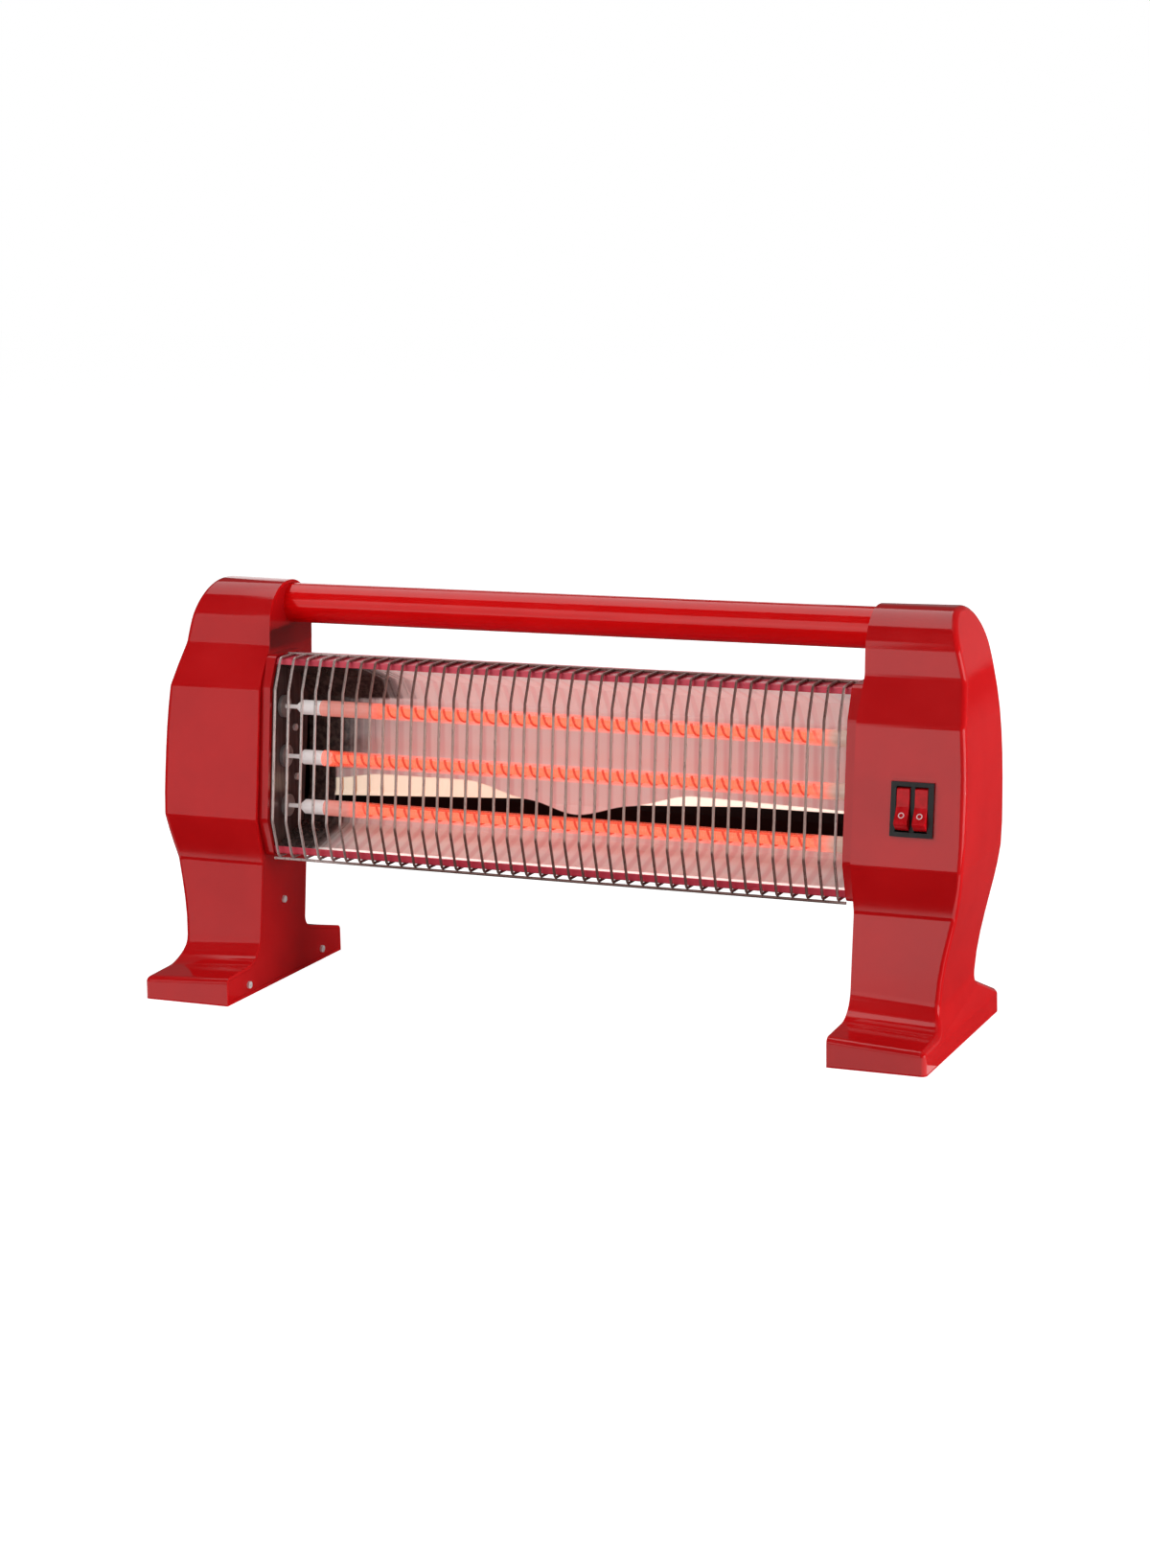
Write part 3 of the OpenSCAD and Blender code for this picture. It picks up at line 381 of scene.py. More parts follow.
def mirrorSheetMaterial():
    look, strip, bars, dimLook = reflectorSet, stripSet, barSet, paintedDimSet
    material, tree, sockets = startMaterial("mirrorSheet", Emission_Strength=look["glow"])
    streaks = useGroup(tree, drawnStreaks, stretch=look["stretch"], streakScale=look["scale"],
                       roughLow=look["addedRough"][0], roughHigh=look["addedRough"][1])
    place = splitPlace(tree)
    x, y, z = place["X"], place["Y"], place["Z"]

    def less(value, *others):
        for other in others:
            value = maths(tree, "SUBTRACT", value, other)
        return value

    def both(first, second):
        return maths(tree, "MULTIPLY", first, second)

    def under(top, blur):
        return spread(tree, less(z, top), -blur, blur, 1, 0)

    def wave(start):
        return maths(tree, "SINE", both(less(x, start), 2 * pi / bars["pitch"]))

    # painted reflection: a light lens over a band of painted dark reflection
    fromDip = maths(tree, "ABSOLUTE", less(x, strip["dipAt"]))
    narrowDip = spread(tree, fromDip, *strip["bandDip"])
    lensTop = less(strip["lensTop"], spread(tree, fromDip, *strip["lensDip"]), narrowDip,
                   spread(tree, x, *strip["lensLeft"]), spread(tree, x, *strip["lensRight"]))
    bandTop = less(strip["bandTop"], narrowDip, spread(tree, x, *strip["bandLeft"]),
                   spread(tree, x, *strip["bandRight"]))
    overFoot = spread(tree, z, *strip["foot"])
    pastEnd = spread(tree, x, *strip["end"])
    patch = both(both(under(lensTop, strip["lensBlur"]), overFoot), pastEnd)
    band = both(under(bandTop, strip["bandBlur"]), overFoot)
    lit = both(patch, less(1.0, band))

    # painted reflections of the wires: bars on the satin, brown lines in the painted reflection
    stripes = both(spread(tree, wave(bars["start"]), *bars["edge"]),
                   spread(tree, streaks["mask"], *bars["broken"]))
    wireReflections = both(spread(tree, wave(bars["wireReflectionStart"]), *bars["wireReflectionEdge"]),
                 spread(tree, x, *bars["wireReflectionFade"]))

    # painted dim reflection at the left end, mottled
    mottle = noise(tree, objectPlace(tree), dimLook["mottle"], 4, 0.6)
    ragged = maths(tree, "MULTIPLY_ADD", streaks["height"], dimLook["ragged"], x)
    upperEnd = spread(tree, less(ragged, spread(tree, z, *dimLook["crest"])), *dimLook["upperEnd"])
    upper = both(upperEnd, spread(tree, z, *dimLook["upperFoot"]))
    lower = both(spread(tree, ragged, *dimLook["lowerEnd"]), spread(tree, z, *dimLook["lowerHead"]))
    paintedDimMask = maths(tree, "MAXIMUM", maths(tree, "MAXIMUM", upper, lower), less(1.0, pastEnd))
    clear = less(1.0, paintedDimMask)

    dusky = blendColours(tree, spread(tree, mottle, *dimLook["mottleEdge"]), look["paintedDimDeep"],
                         look["paintedDim"])
    satin = blendColours(tree, stripes, look["satin"], bars["colour"])
    satin = blendColours(tree, paintedDimMask, satin, dusky)
    paintedLight = blendColours(tree, wireReflections, look["paintedLight"], bars["wireReflectionColour"])
    paintedStrip = blendColours(tree, band, paintedLight, look["dark"])
    feed(tree, sockets["Base Color"], blendColours(tree, patch, satin, paintedStrip))

    # painted highlights through Emission: an upper sheen, a bright line along the lower front edge,
    # and the painted reflection strip glowing, brighter on the right
    upperSheen = both(spread(tree, z, *look["upperGlowFrom"]), clear)
    depth = less(y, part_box("reflector")[0].y)
    lowerLine = both(spread(tree, depth, *look["edgeDepth"]), spread(tree, z, *look["edgeHead"]))
    sheen = blendColours(tree, upperSheen, black, look["upperGlow"])
    sheen = blendColours(tree, both(lowerLine, clear), sheen, look["edgeGlow"])
    rightSide = spread(tree, x, *look["rightGlowFrom"])
    paintedLightGlow = blendColours(tree, rightSide, paintedLight, look["rightGlow"])
    feed(tree, sockets["Emission Color"], blendColours(tree, lit, sheen, paintedLightGlow))

    rough = between(tree, paintedDimMask, look["satinRough"], look["paintedDimRough"])
    rough = between(tree, patch, rough, look["paintedLightRough"])
    feed(tree, sockets["Roughness"], maths(tree, "ADD", rough, streaks["roughness"]))
    metal = between(tree, paintedDimMask, look["satinMetal"], look["paintedDimMetal"])
    stripMetal = between(tree, band, look["paintedLightMetal"], look["darkMetal"])
    feed(tree, sockets["Metallic"], between(tree, patch, metal, stripMetal))
    ripple = noise(tree, objectPlace(tree), look["rippleScale"], 1, 0.4)
    height = maths(tree, "MULTIPLY_ADD", streaks["height"], look["streakShare"], ripple)
    bumpFrom(tree, sockets, height, look["bump"], look["bumpDepth"])
    return material


mirrorSheet = mirrorSheetMaterial()

coilLook = {
    "cold": (0.45, 0.30, 0.28, 1), "hot": (0.05, 0.01, 0.005, 1), "rough": (0.4, 0.6),
    "glow": (0.40, 0.004, 0.001, 1), "level": 0.85,
}
windingLook = {
    "cold": (0.66, 0.36, 0.32, 1), "hot": (0.3, 0.1, 0.06, 1), "rough": (0.4, 0.6),
    "glow": (0.95, 0.25, 0.13, 1), "glowDeep": (0.92, 0.18, 0.095, 1), "level": 0.9,
    "pitch": 1.8 * mm, "bump": 0.4, "bumpDepth": 0.6 * mm,
}
# the cold ends of the tubes carry a painted glow (coldGlow), paler at the right-hand end, where the
# base colour is paler too
quartzLook = {
    "cold": (0.95, 0.52, 0.45, 1), "coldRight": (0.80, 0.62, 0.54, 1),
    "coldGlow": (0.13, 0.035, 0.027, 1), "coldGlowRight": (0.11, 0.075, 0.06, 1),
    "hot": (0.55, 0.22, 0.16, 1), "glow": (1.0, 0.095, 0.042, 1), "level": 1.6,
    "alpha": (0.75, 0.16),        # cold, hot
    "rough": (0.10, 0.2), "rightSide": (0, 0.1),
}
# where the tubes glow, and how far the middle one and the top one start from that, metres
zoneSet = {"coldLeft": -0.160, "hotLeft": -0.140, "hotRight": 0.175, "coldRight": 0.198,
           "middleShift": -0.024, "topShift": 0.042}


def glowingWireMaterial():
    look = coilLook
    material, tree, sockets = startMaterial("glowingWire", Emission_Strength=look["level"])
    heat = useGroup(tree, hotZone, **zoneSet)["heat"]
    skin = useGroup(tree, surfaceBreakup, blotchScale=120, grainScale=1500, grainShare=0.3,
                    roughLow=look["rough"][0], roughHigh=look["rough"][1])
    feed(tree, sockets["Base Color"], blendColours(tree, heat, look["cold"], look["hot"]))
    feed(tree, sockets["Roughness"], skin["roughness"])
    feed(tree, sockets["Emission Color"], blendColours(tree, heat, black, look["glow"]))
    return material


def windingMaterial():
    look = windingLook
    material, tree, sockets = startMaterial("fineWinding", Emission_Strength=look["level"])
    heat = useGroup(tree, hotZone, **zoneSet)["heat"]
    along = maths(tree, "MULTIPLY", splitPlace(tree)["X"], 2 * pi / look["pitch"])
    turns = spread(tree, maths(tree, "SINE", along), -1, 1)
    glow = blendColours(tree, turns, look["glowDeep"], look["glow"])
    feed(tree, sockets["Base Color"], blendColours(tree, heat, look["cold"], look["hot"]))
    feed(tree, sockets["Roughness"], between(tree, turns, *look["rough"]))
    feed(tree, sockets["Emission Color"], blendColours(tree, heat, black, glow))
    bumpFrom(tree, sockets, turns, look["bump"], look["bumpDepth"])
    return material


def quartzMaterial():
    look = quartzLook
    material, tree, sockets = startMaterial(
        "milkyQuartz", IOR=1.46, Coat_Weight=0.4, Coat_Roughness=0.05,
        Emission_Strength=look["level"])
    heat = useGroup(tree, hotZone, **zoneSet)["heat"]
    skin = useGroup(tree, surfaceBreakup, blotchScale=60, grainScale=900, grainShare=0.3,
                    roughLow=look["rough"][0], roughHigh=look["rough"][1])
    rightSide = spread(tree, splitPlace(tree)["X"], *look["rightSide"])
    cold = blendColours(tree, rightSide, look["cold"], look["coldRight"])
    coldGlow = blendColours(tree, rightSide, look["coldGlow"], look["coldGlowRight"])
    feed(tree, sockets["Base Color"], blendColours(tree, heat, cold, look["hot"]))
    feed(tree, sockets["Roughness"], skin["roughness"])
    feed(tree, sockets["Emission Color"], blendColours(tree, heat, coldGlow, look["glow"]))
    feed(tree, sockets["Alpha"], between(tree, heat, *look["alpha"]))
    return material


fineWinding = windingMaterial()
glowingWire = glowingWireMaterial()
milkyQuartz = quartzMaterial()
print("materials built:", len(bpy.data.materials))

# mesh helpers
meshSet = {"crease": 32, "roundAngle": 38, "turnedCrease": 40}    # degrees


def finishMesh(bm, name, material, replaced=(), crease=meshSet["crease"],
               body="heater_body"):
    for face in bm.faces:
        face.smooth = True
    for edge in bm.edges:
        edge.smooth = len(edge.link_faces) == 2 and edge.calc_face_angle(0) < radians(crease)
    mesh = bpy.data.meshes.new(name)
    bm.to_mesh(mesh)
    bm.free()
    mesh.materials.append(material)
    piece = bpy.data.objects.new(name, mesh)
    scene.collection.objects.link(piece)
    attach(piece, body)
    if replaced:
        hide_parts(*replaced)
    return piece


def mergedCopy(nodeName, flat=0.4):
    bm = bmesh.new()
    bm.from_mesh(nodes[nodeName].data)
    bmesh.ops.remove_doubles(bm, verts=bm.verts, dist=1e-6)
    bmesh.ops.dissolve_limit(bm, angle_limit=radians(flat), verts=bm.verts, edges=bm.edges,
                             use_dissolve_boundaries=False)
    return bm


def roundEdges(piece, width, segments=2, angle=meshSet["roundAngle"]):
    bevel = piece.modifiers.new("edgeRound", "BEVEL")
    bevel.width, bevel.segments, bevel.limit_method = width, segments, "ANGLE"
    bevel.angle_limit, bevel.harden_normals = radians(angle), False
    evenNormals(piece)


def evenNormals(piece):
    even = piece.modifiers.new("evenNormals", "WEIGHTED_NORMAL")
    even.keep_sharp, even.weight = True, 50


def linkedEdges(verts):
    return list(dict.fromkeys(edge for vert in verts for edge in vert.link_edges))


def extrudeEdges(bm, edges):
    grown = bmesh.ops.extrude_edge_only(bm, edges=edges)["geom"]
    verts = [item for item in grown if isinstance(item, bmesh.types.BMVert)]
    return verts, [item for item in grown if isinstance(item, bmesh.types.BMEdge)
                   and item.verts[0] in verts and item.verts[1] in verts]


def straightTube(nodeName, segments, slices):
    low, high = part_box(nodeName)
    middle = (low + high) / 2
    bm = bmesh.new()
    place = Matrix.Translation((low.x, middle.y, middle.z)) @ Matrix.Rotation(pi / 2, 4, "Y")
    ring = bmesh.ops.create_circle(bm, segments=segments, radius=(high.z - low.z) / 2, matrix=place)
    edges = linkedEdges(ring["verts"])
    for _ in range(slices):
        verts, edges = extrudeEdges(bm, edges)
        bmesh.ops.translate(bm, verts=verts, vec=((high.x - low.x) / slices, 0, 0))
    bmesh.ops.recalc_face_normals(bm, faces=bm.faces)
    if sum(face.normal.dot(face.calc_center_median() - middle) for face in bm.faces) < 0:
        bmesh.ops.reverse_faces(bm, faces=bm.faces)
    return bm


def thicken(piece, wall):
    inside = piece.modifiers.new("tubeWall", "SOLIDIFY")
    inside.thickness, inside.offset = wall, -1


def dressNode(nodeName, material):
    slots = nodes[nodeName].material_slots
    for slot in slots:
        slot.material = material
    if not slots:
        nodes[nodeName].data.materials.append(material)


# columns
columnSet = {"crease": 34, "panelRound": 0.35 * mm}


def makeColumns():
    for side in ("left", "right"):
        shell, panel = side + "_shell", side + "_inner_panel"
        column = finishMesh(mergedCopy(shell), side + "Column", shellPlastic,
                            (shell,), columnSet["crease"])
        evenNormals(column)
        inner = finishMesh(mergedCopy(panel), side + "InnerPanel", panelPlastic,
                           (panel,))
        roundEdges(inner, columnSet["panelRound"])


makeColumns()
print("columns made")

# screws
screwSet = {
    "head": 2.5 * mm, "height": 1.6 * mm, "segments": 24, "lift": 0.03 * mm,
    "recess": 1.5 * mm, "arm": 0.42 * mm, "depth": 0.9 * mm, "recessFloor": 0.7,
    "flat": 0.72, "profile": ((0.92, 0.22), (1.0, 0.55), (1.0, 1.0)),   # share of radius, of height
    "turn": 0.5, "turnPerMetre": 9,      # how each cross is turned, radians
}


def panHead(bm, place):
    look = screwSet
    arm, reach, top = look["arm"], look["recess"], look["height"]
    outline = [(reach, -arm), (reach, arm), (arm, arm), (arm, reach), (-arm, reach), (-arm, arm),
               (-reach, arm), (-reach, -arm), (-arm, -arm), (-arm, -reach), (arm, -reach),
               (arm, -arm)]
    head = bmesh.new()
    cross = [head.verts.new((x, y, top)) for x, y in outline]
    crossEdges = [head.edges.new((cross[i - 1], cross[i])) for i in range(len(cross))]
    rim = bmesh.ops.create_circle(head, segments=look["segments"],
                                  radius=look["head"] * look["flat"],
                                  matrix=Matrix.Translation((0, 0, top)))
    rimEdges = linkedEdges(rim["verts"])
    bmesh.ops.bridge_loops(head, edges=crossEdges + rimEdges)
    for share, drop in look["profile"]:
        verts, rimEdges = extrudeEdges(head, rimEdges)
        for vert in verts:
            out = Vector((vert.co.x, vert.co.y, 0)).normalized() * look["head"] * share
            vert.co = (out.x, out.y, top * (1 - drop))
    floor, floorEdges = extrudeEdges(head, crossEdges)
    for vert in floor:
        vert.co = (vert.co.x * look["recessFloor"], vert.co.y * look["recessFloor"],
                   top - look["depth"])
    bmesh.ops.contextual_create(head, geom=floorEdges)
    bmesh.ops.recalc_face_normals(head, faces=head.faces)
    head.transform(place)
    holder = bpy.data.meshes.new("screwHolder")
    head.to_mesh(holder)
    head.free()
    bm.from_mesh(holder)
    bpy.data.meshes.remove(holder)


def islandBoxes(bm):
    left, boxes = dict.fromkeys(bm.verts), []
    while left:
        frontier, found = [left.popitem()[0]], []
        while frontier:
            vert = frontier.pop()
            found.append(vert.co.copy())
            for link in vert.link_edges:
                other = link.other_vert(vert)
                if other in left:
                    del left[other]
                    frontier.append(other)
        boxes.append((Vector(map(min, *found)), Vector(map(max, *found))))
    return boxes


def makeScrews():
    for side, sign in (("left", 1), ("right", -1)):
        node = side + "_panel_screws"
        bm = mergedCopy(node)
        for low, high in islandBoxes(bm):
            middle = (low + high) / 2
            outer = high.x if sign > 0 else low.x
            seat = outer - sign * (screwSet["height"] - screwSet["lift"])
            turn = screwSet["turn"] + middle.y * screwSet["turnPerMetre"]
            panHead(bm, Matrix.Translation((seat, middle.y, middle.z))
                    @ Matrix.Rotation(sign * pi / 2, 4, "Y") @ Matrix.Rotation(turn, 4, "Z"))
        finishMesh(bm, side + "PanelScrews", screwSteel, (node,),
                   meshSet["turnedCrease"])


makeScrews()
print("screws made")

# carry handle
handleSet = {"segments": 96, "slices": 24, "wall": 1.5 * mm}


def makeHandle():
    bm = straightTube("carry_handle", handleSet["segments"], handleSet["slices"])
    handle = finishMesh(bm, "carryHandle", handlePaint, ("carry_handle",))
    thicken(handle, handleSet["wall"])
    dressNode("handle_plugs", blackPlastic)
    dressNode("handle_bolts", screwSteel)


makeHandle()
print("handle made")

# casing, reflector and end plates
casingSet = {
    "round": 0.3 * mm, "foldRound": 1.6 * mm, "foldAngle": 12, "foldSegments": 4,
    "plateRound": 0.15 * mm,
}


def makeCasing():
    casing = finishMesh(mergedCopy("rear_casing"), "rearCasing", casingPaint,
                        ("rear_casing",))
    roundEdges(casing, casingSet["round"])
    mirror = finishMesh(mergedCopy("reflector"), "mirrorReflector", mirrorSheet,
                        ("reflector",))
    roundEdges(mirror, casingSet["foldRound"], casingSet["foldSegments"], casingSet["foldAngle"])
    for side in ("left", "right"):
        node = side + "_end_plate"
        plate = finishMesh(mergedCopy(node), side + "EndPlate", plateMetal,
                           (node,))
        roundEdges(plate, casingSet["plateRound"])
    dressNode("end_plate_screws", screwSteel)


makeCasing()
print("casing made")

# heating tubes
tubeSet = {"segments": 48, "slices": 40, "wall": 1.0 * mm}
coreSet = {"radius": 2.9 * mm, "end": 2.2 * mm, "inset": 6 * mm, "segments": 24, "taper": 0.012}
coilSet = {
    "radius": 3.4 * mm, "wire": 1.0 * mm, "sides": 8, "stepsPerTurn": 22, "turns": 35,
    "pitch": 10.57 * mm, "start": -168.5 * mm, "lean": 25, "crease": 60,    # degrees
}


def makeTubes():
    for level in ("top", "middle", "bottom"):
        node = "tube_" + level
        bm = straightTube(node, tubeSet["segments"], tubeSet["slices"])
        tube = finishMesh(bm, level + "Tube", milkyQuartz, (node,))
        thicken(tube, tubeSet["wall"])
        low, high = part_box(node)
        middle = (low + high) / 2
        makeCore(level, middle, low.x, high.x)
        makeCoil(level, middle)


def makeCore(level, middle, left, right):
    look = coreSet
    bm = bmesh.new()
    place = (Matrix.Translation((left + look["inset"], middle.y, middle.z))
             @ Matrix.Rotation(pi / 2, 4, "Y"))
    ring = bmesh.ops.create_circle(bm, segments=look["segments"], radius=look["end"],
                                   cap_ends=True, matrix=place)
    edges = [edge for edge in linkedEdges(ring["verts"]) if edge.is_boundary]
    reach, taper = right - left - 2 * look["inset"], look["taper"]
    for step, radius in ((taper, look["radius"]), (1 - 2 * taper, look["radius"]),
                         (taper, look["end"])):
        verts, edges = extrudeEdges(bm, edges)
        bmesh.ops.translate(bm, verts=verts, vec=(step * reach, 0, 0))
        for vert in verts:
            out = Vector((0, vert.co.y - middle.y, vert.co.z - middle.z)).normalized() * radius
            vert.co.y, vert.co.z = middle.y + out.y, middle.z + out.z
    bmesh.ops.holes_fill(bm, edges=edges, sides=0)
    bmesh.ops.recalc_face_normals(bm, faces=bm.faces)
    finishMesh(bm, level + "Winding", fineWinding)


def makeCoil(level, middle):
    look = coilSet
    bm = bmesh.new()
    place = (Matrix.Translation((look["start"], middle.y, middle.z + look["radius"]))
             @ Matrix.Rotation(pi / 2 - radians(look["lean"]), 4, "X"))
    ring = bmesh.ops.create_circle(bm, segments=look["sides"], radius=look["wire"], matrix=place)
    bmesh.ops.spin(bm, geom=ring["verts"] + linkedEdges(ring["verts"]),
                   cent=(0, middle.y, middle.z), axis=(1, 0, 0),
                   dvec=(look["pitch"] / look["stepsPerTurn"], 0, 0),
                   angle=2 * pi * look["turns"], steps=look["turns"] * look["stepsPerTurn"],
                   use_duplicate=False)
    bmesh.ops.holes_fill(bm, edges=[edge for edge in bm.edges if edge.is_boundary], sides=0)
    bmesh.ops.recalc_face_normals(bm, faces=bm.faces)
    finishMesh(bm, level + "Coil", glowingWire, ("coil_" + level,), look["crease"])


def makeEndFittings():
    for side in ("left", "right"):
        caps, bushings = side + "_tube_caps", side + "_bushings"
        finishMesh(mergedCopy(caps), side + "TubeCaps", capCeramic, (caps,),
                   meshSet["turnedCrease"])
        finishMesh(mergedCopy(bushings), side + "Bushings", greyCeramic,
                   (bushings,), meshSet["turnedCrease"])


makeTubes()
makeEndFittings()
print("tubes made")

# grille
grilleSet = {"flat": 0.05, "crease": 50}    # degrees


def makeGrille():
    for node, name in (("grille_wires", "grilleWires"), ("grille_rods", "grilleRods")):
        finishMesh(mergedCopy(node, grilleSet["flat"]), name, wireSteel, (node,),
                   grilleSet["crease"])


makeGrille()
print("grille made")

# switch
switchSet = {
    "centre": (254.5 * mm, -31.0289 * mm, 158 * mm), "slope": -7.1564,   # of the frame's seat
    "tilt": 13, "pivotDepth": 4 * mm, "apart": 6 * mm, "faceMiddle": -2.16 * mm,
    "frameRound": 0.45 * mm, "rockerRound": 0.35 * mm, "roundSegments": 3,
    "rockerRoundAngle": 50, "rockerCrease": 24,
    "ring": (2.0 * mm, 1.35 * mm), "ringDown": 5.6 * mm, "ringSegments": 28,
    "ringRise": 0.06 * mm, "ringLift": 0.02 * mm,
}


def markPlace(place):
    look = switchSet
    lean, down = radians(look["tilt"]), look["ringDown"]
    seat = Matrix.Translation(look["centre"]) @ Matrix.Rotation(radians(look["slope"]), 4, "X")
    pivot = Matrix.Translation((place * look["apart"], look["pivotDepth"], 0))
    face = (0, look["faceMiddle"] - look["pivotDepth"] - down * tan(lean), -down)
    return (seat @ pivot @ Matrix.Rotation(-lean, 4, "X") @ Matrix.Translation(face)
            @ Matrix.Rotation(pi / 2 - lean, 4, "X"))


def makeRingMark(side, place, body):
    bm = bmesh.new()
    edges = []
    for radius in switchSet["ring"]:
        ring = bmesh.ops.create_circle(bm, segments=switchSet["ringSegments"], radius=radius)
        edges += linkedEdges(ring["verts"])
    bmesh.ops.bridge_loops(bm, edges=edges)
    bmesh.ops.solidify(bm, geom=bm.faces, thickness=-switchSet["ringRise"])
    bmesh.ops.recalc_face_normals(bm, faces=bm.faces)
    bm.transform(markPlace(place) @ Matrix.Translation((0, 0, switchSet["ringLift"])))
    finishMesh(bm, side + "RingMark", markPaint, body=body)


def makeSwitch():
    housing = finishMesh(mergedCopy("switch_housing"), "switchHousing", switchPlastic,
                         ("switch_housing",))
    roundEdges(housing, switchSet["frameRound"], switchSet["roundSegments"])
    for side, place in (("left", -1), ("right", 1)):
        node = "rocker_" + side
        rocker = finishMesh(mergedCopy(node), side + "Rocker", rockerPlastic,
                            (node,), switchSet["rockerCrease"], node + "_body")
        roundEdges(rocker, switchSet["rockerRound"], switchSet["roundSegments"],
                   switchSet["rockerRoundAngle"])
        makeRingMark(side, place, node + "_body")
    dressNode("switch_terminals", brassMetal)
    dressNode("terminal_block", whiteCeramic)
    dressNode("tilt_switch", blackPlastic)


makeSwitch()
print("switch made")


def makeInlet():
    finishMesh(mergedCopy("cord_grommet"), "cordGrommet", blackRubber,
               ("cord_grommet",), meshSet["turnedCrease"])


makeInlet()
print("cord inlet made")

# floor, surroundings and lamps
floorSet = {
    "reach": 8.0, "shade": 0.75, "glossShade": 0.14, "cameraShade": 0.60, "cameraGlow": 0.90,
}
surroundSet = {
    "diffuse": 0.16, "dark": 0.006,
    "horizon": 0.13, "horizonEdge": (0.19, 0.26),     # edges are parts of a unit direction
    "ceiling": 0.24, "ceilingEdge": (0.86, 0.97), "behind": 0.08, "behindEdge": (-0.1, 0.3),
}
standingCards = (
    # name, azimuth from straight ahead, distance, width, foot, head, level
    ("frontLeftCard", -32, 2.5, 0.95, 0.0, 1.02, 0.80),
    ("frontCard", -14, 2.4, 0.62, 0.0, 0.66, 1.35),
    ("handleCard", -23.8, 2.514, 0.97, 0.66, 1.60, 1.1),
    ("rearCard", -154.5, 1.093, 0.612, 0.25, 0.75, 1.2),
    ("rightKeyCard", 78, 1.9, 1.5, 0.0, 0.95, 2.3),
)
lyingCards = (
    # name, front, rear, left, right, height (metres), level
    ("floorFlag", -0.85, -0.145, -2.4, 2.4, 0.001, 0.006),
    ("leftLipGlow", -0.143, -0.06, -0.5, -0.215, 0.001, 0.95),
    ("rightLipGlow", -0.143, -0.06, 0.17, 0.5, 0.001, 0.95),
    ("innerFloorFlag", -0.143, -0.06, -0.215, 0.17, 0.001, 0.006),
    ("floorGlow", -2.20, -0.85, -1.9, -0.05, 0.001, 1.05),
    ("overheadCard", -0.50, 1.30, -0.975, 0.22, 1.60, 1.7),
    ("crownCard", -0.24, 1.30, -1.3, -0.975, 1.60, 1.3),
)
# a flag that shades the top of the left inner panel, metres
flagSet = {"x": -0.199, "front": -0.062, "rear": 0.092, "foot": 0.236, "head": 0.2496}
lampSet = (
    # name, azimuth, elevation, distance, size, power
    ("keyLamp", 88, 3, 2.4, 0.5, 40),
    ("frontLamp", -34, 36, 2.6, 2.2, 35),
    ("backLamp", 165, 30, 2.6, 1.4, 14),
)
lampAim = Vector((0, 0, 0.14))


def plainMaterial(name):
    material = bpy.data.materials.new(name)
    material.use_nodes = True
    tree = material.node_tree
    tree.nodes.clear()
    return material, tree, tree.nodes.new("ShaderNodeOutputMaterial").inputs[0]


def stagePlane(name, corners, material):
    bm = bmesh.new()
    bm.faces.new([bm.verts.new(corner) for corner in corners])
    mesh = bpy.data.meshes.new(name)
    bm.to_mesh(mesh)
    bm.free()
    mesh.materials.append(material)
    plane = bpy.data.objects.new(name, mesh)
    scene.collection.objects.link(plane)
    return plane


def outward(azimuth, elevation, distance):
    a, e = radians(azimuth), radians(elevation)
    return Vector((sin(a) * cos(e), -cos(a) * cos(e), sin(e))) * distance


def glowMaterial(name, level):
    material, tree, surface = plainMaterial(name)
    glow = tree.nodes.new("ShaderNodeEmission")
    glow.inputs["Color"].default_value = (1, 1, 1, 1)
    glow.inputs["Strength"].default_value = level
    tree.links.new(glow.outputs[0], surface)
    return material


def makeFloor():
    look = floorSet
    material, tree, surface = plainMaterial("paleFloor")
    path = tree.nodes.new("ShaderNodeLightPath").outputs
    matte = tree.nodes.new("ShaderNodeBsdfDiffuse")
    shade, glossShade, cameraShade = [
        (look[key],) * 3 + (1,) for key in ("shade", "glossShade", "cameraShade")]
    colour = blendColours(tree, path["Is Glossy Ray"], shade, glossShade)
    colour = blendColours(tree, path["Is Camera Ray"], colour, cameraShade)
    feed(tree, matte.inputs["Color"], colour)
    glow = tree.nodes.new("ShaderNodeEmission")
    seenGlow = maths(tree, "MULTIPLY", path["Is Camera Ray"], look["cameraGlow"])
    feed(tree, glow.inputs["Strength"], seenGlow)
    added = tree.nodes.new("ShaderNodeAddShader")
    tree.links.new(matte.outputs[0], added.inputs[0])
    tree.links.new(glow.outputs[0], added.inputs[1])
    tree.links.new(added.outputs[0], surface)
    r = look["reach"]
    stagePlane("floor", ((-r, -r, 0), (r, -r, 0), (r, r, 0), (-r, r, 0)), material)


def glossOnly(plane):
    plane.visible_camera = plane.visible_diffuse = plane.visible_shadow = False
    plane.visible_volume_scatter = False


def makeCards():
    for name, azimuth, distance, width, foot, head, level in standingCards:
        middle = outward(azimuth, 0, distance)
        aside = outward(azimuth + 90, 0, width / 2)
        low, high = Vector((0, 0, foot)), Vector((0, 0, head))
        corners = (middle - aside + low, middle + aside + low,
                   middle + aside + high, middle - aside + high)
        glossOnly(stagePlane(name, corners, glowMaterial(name, level)))
    for name, front, rear, left, right, height, level in lyingCards:
        corners = ((left, front, height), (right, front, height),
                   (right, rear, height), (left, rear, height))
        glossOnly(stagePlane(name, corners, glowMaterial(name, level)))


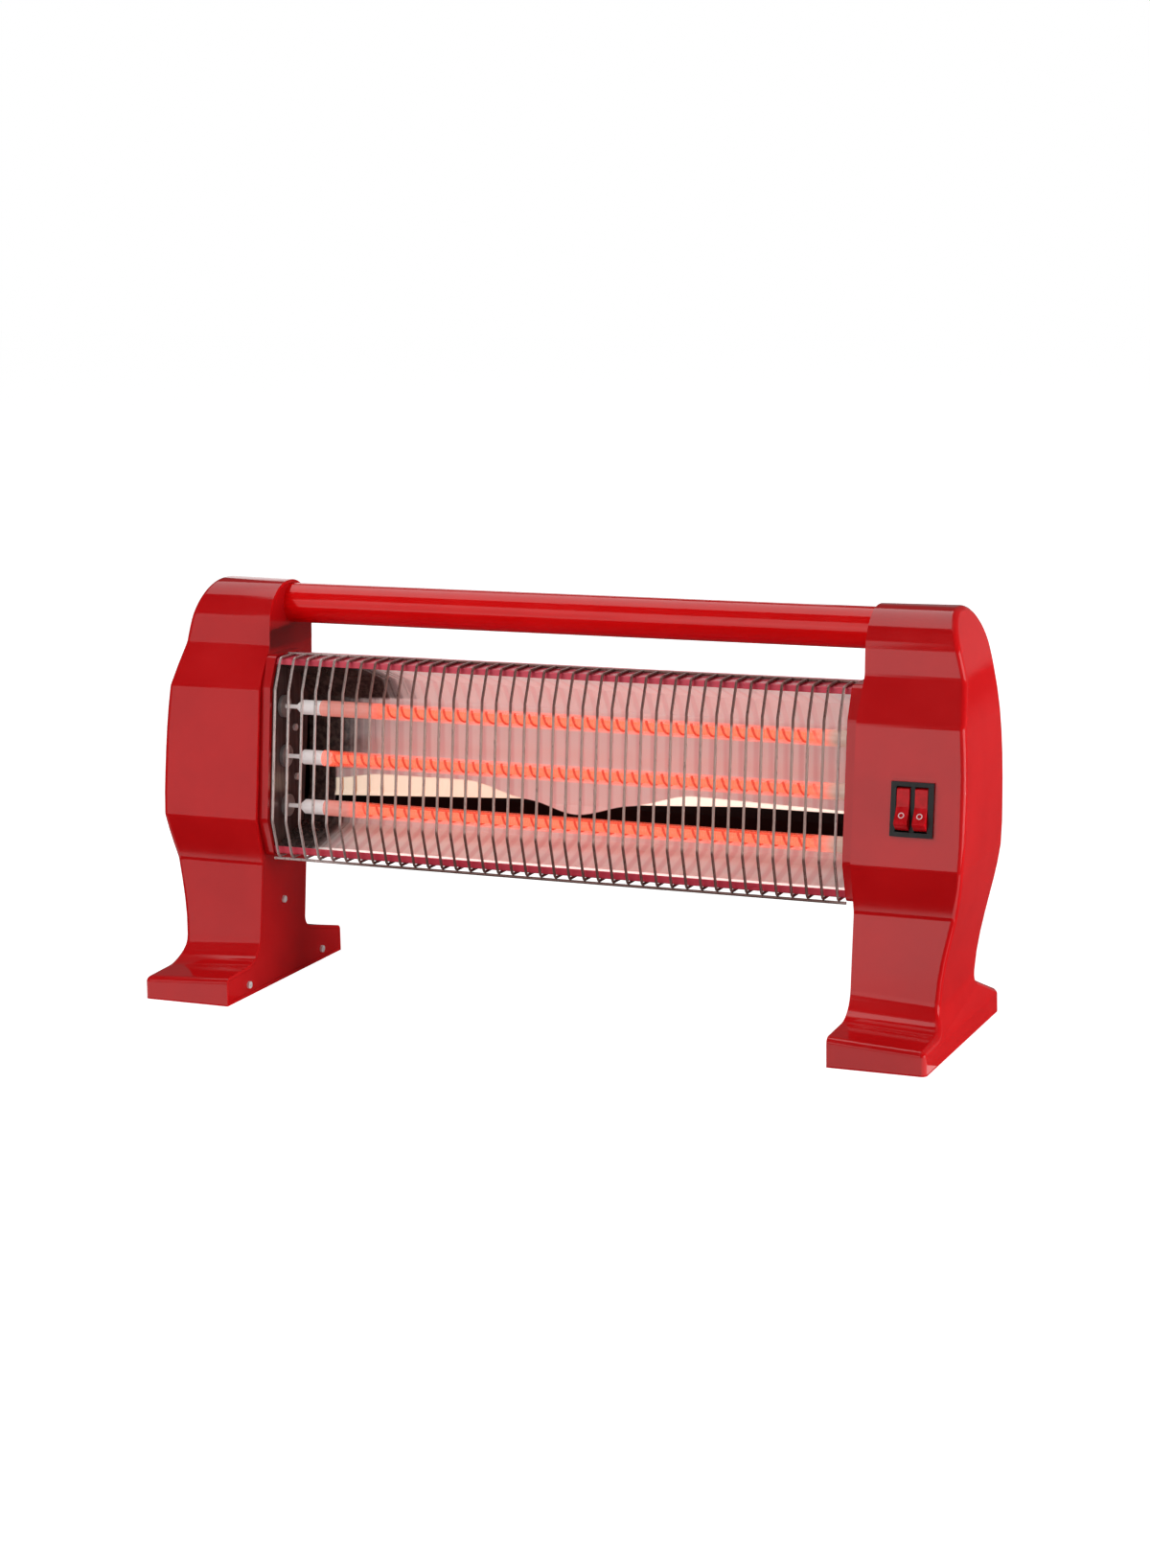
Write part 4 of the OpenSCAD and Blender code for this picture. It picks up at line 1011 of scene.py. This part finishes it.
def makeInnerFlag():
    x, front, rear = flagSet["x"], flagSet["front"], flagSet["rear"]
    foot, head = flagSet["foot"], flagSet["head"]
    corners = ((x, front, foot), (x, rear, foot), (x, rear, head), (x, front, head))
    flag = stagePlane("innerFlag", corners, glowMaterial("innerFlag", 0.0))
    flag.visible_camera = flag.visible_glossy = flag.visible_volume_scatter = False


def makeLamps():
    for name, azimuth, elevation, distance, size, power in lampSet:
        data = bpy.data.lights.new(name, "AREA")
        data.shape, data.size, data.energy = "SQUARE", size, power
        lamp = bpy.data.objects.new(name, data)
        scene.collection.objects.link(lamp)
        spot = outward(azimuth, elevation, distance) + lampAim
        turn = (lampAim - spot).to_track_quat("-Z", "Y").to_matrix().to_4x4()
        lamp.matrix_world = Matrix.Translation(spot) @ turn
        lamp.visible_glossy = False
        lamp.visible_transmission = False


def mixFloats(tree, mask, first, second):
    node = tree.nodes.new("ShaderNodeMix")
    for index, value in ((0, mask), (2, first), (3, second)):   # the float sockets are 2 and 3
        feed(tree, node.inputs[index], value)
    return node.outputs[0]


def makeSurround():
    look = surroundSet
    world = bpy.data.worlds.new("studioSurround")
    scene.world = world
    world.use_nodes = True
    tree = world.node_tree
    tree.nodes.clear()
    path = tree.nodes.new("ShaderNodeLightPath").outputs
    direction = tree.nodes.new("ShaderNodeSeparateXYZ")
    tree.links.new(tree.nodes.new("ShaderNodeTexCoord").outputs["Generated"], direction.inputs[0])
    up, back = direction.outputs["Z"], direction.outputs["Y"]
    horizon = spread(tree, up, *look["horizonEdge"], look["horizon"], look["dark"])
    ceiling = spread(tree, up, *look["ceilingEdge"], 0, look["ceiling"])
    behind = spread(tree, back, *look["behindEdge"], 0, look["behind"])
    mirrored = maths(tree, "ADD", maths(tree, "ADD", horizon, ceiling), behind)
    level = mixFloats(tree, path["Is Glossy Ray"], look["diffuse"], mirrored)
    glow = tree.nodes.new("ShaderNodeBackground")
    feed(tree, glow.inputs["Color"], (1, 1, 1, 1))
    feed(tree, glow.inputs["Strength"], mixFloats(tree, path["Is Camera Ray"], level, 1.0))
    tree.links.new(glow.outputs[0], tree.nodes.new("ShaderNodeOutputWorld").inputs[0])


makeFloor()
makeCards()
makeInnerFlag()
makeLamps()
makeSurround()
print("studio made")
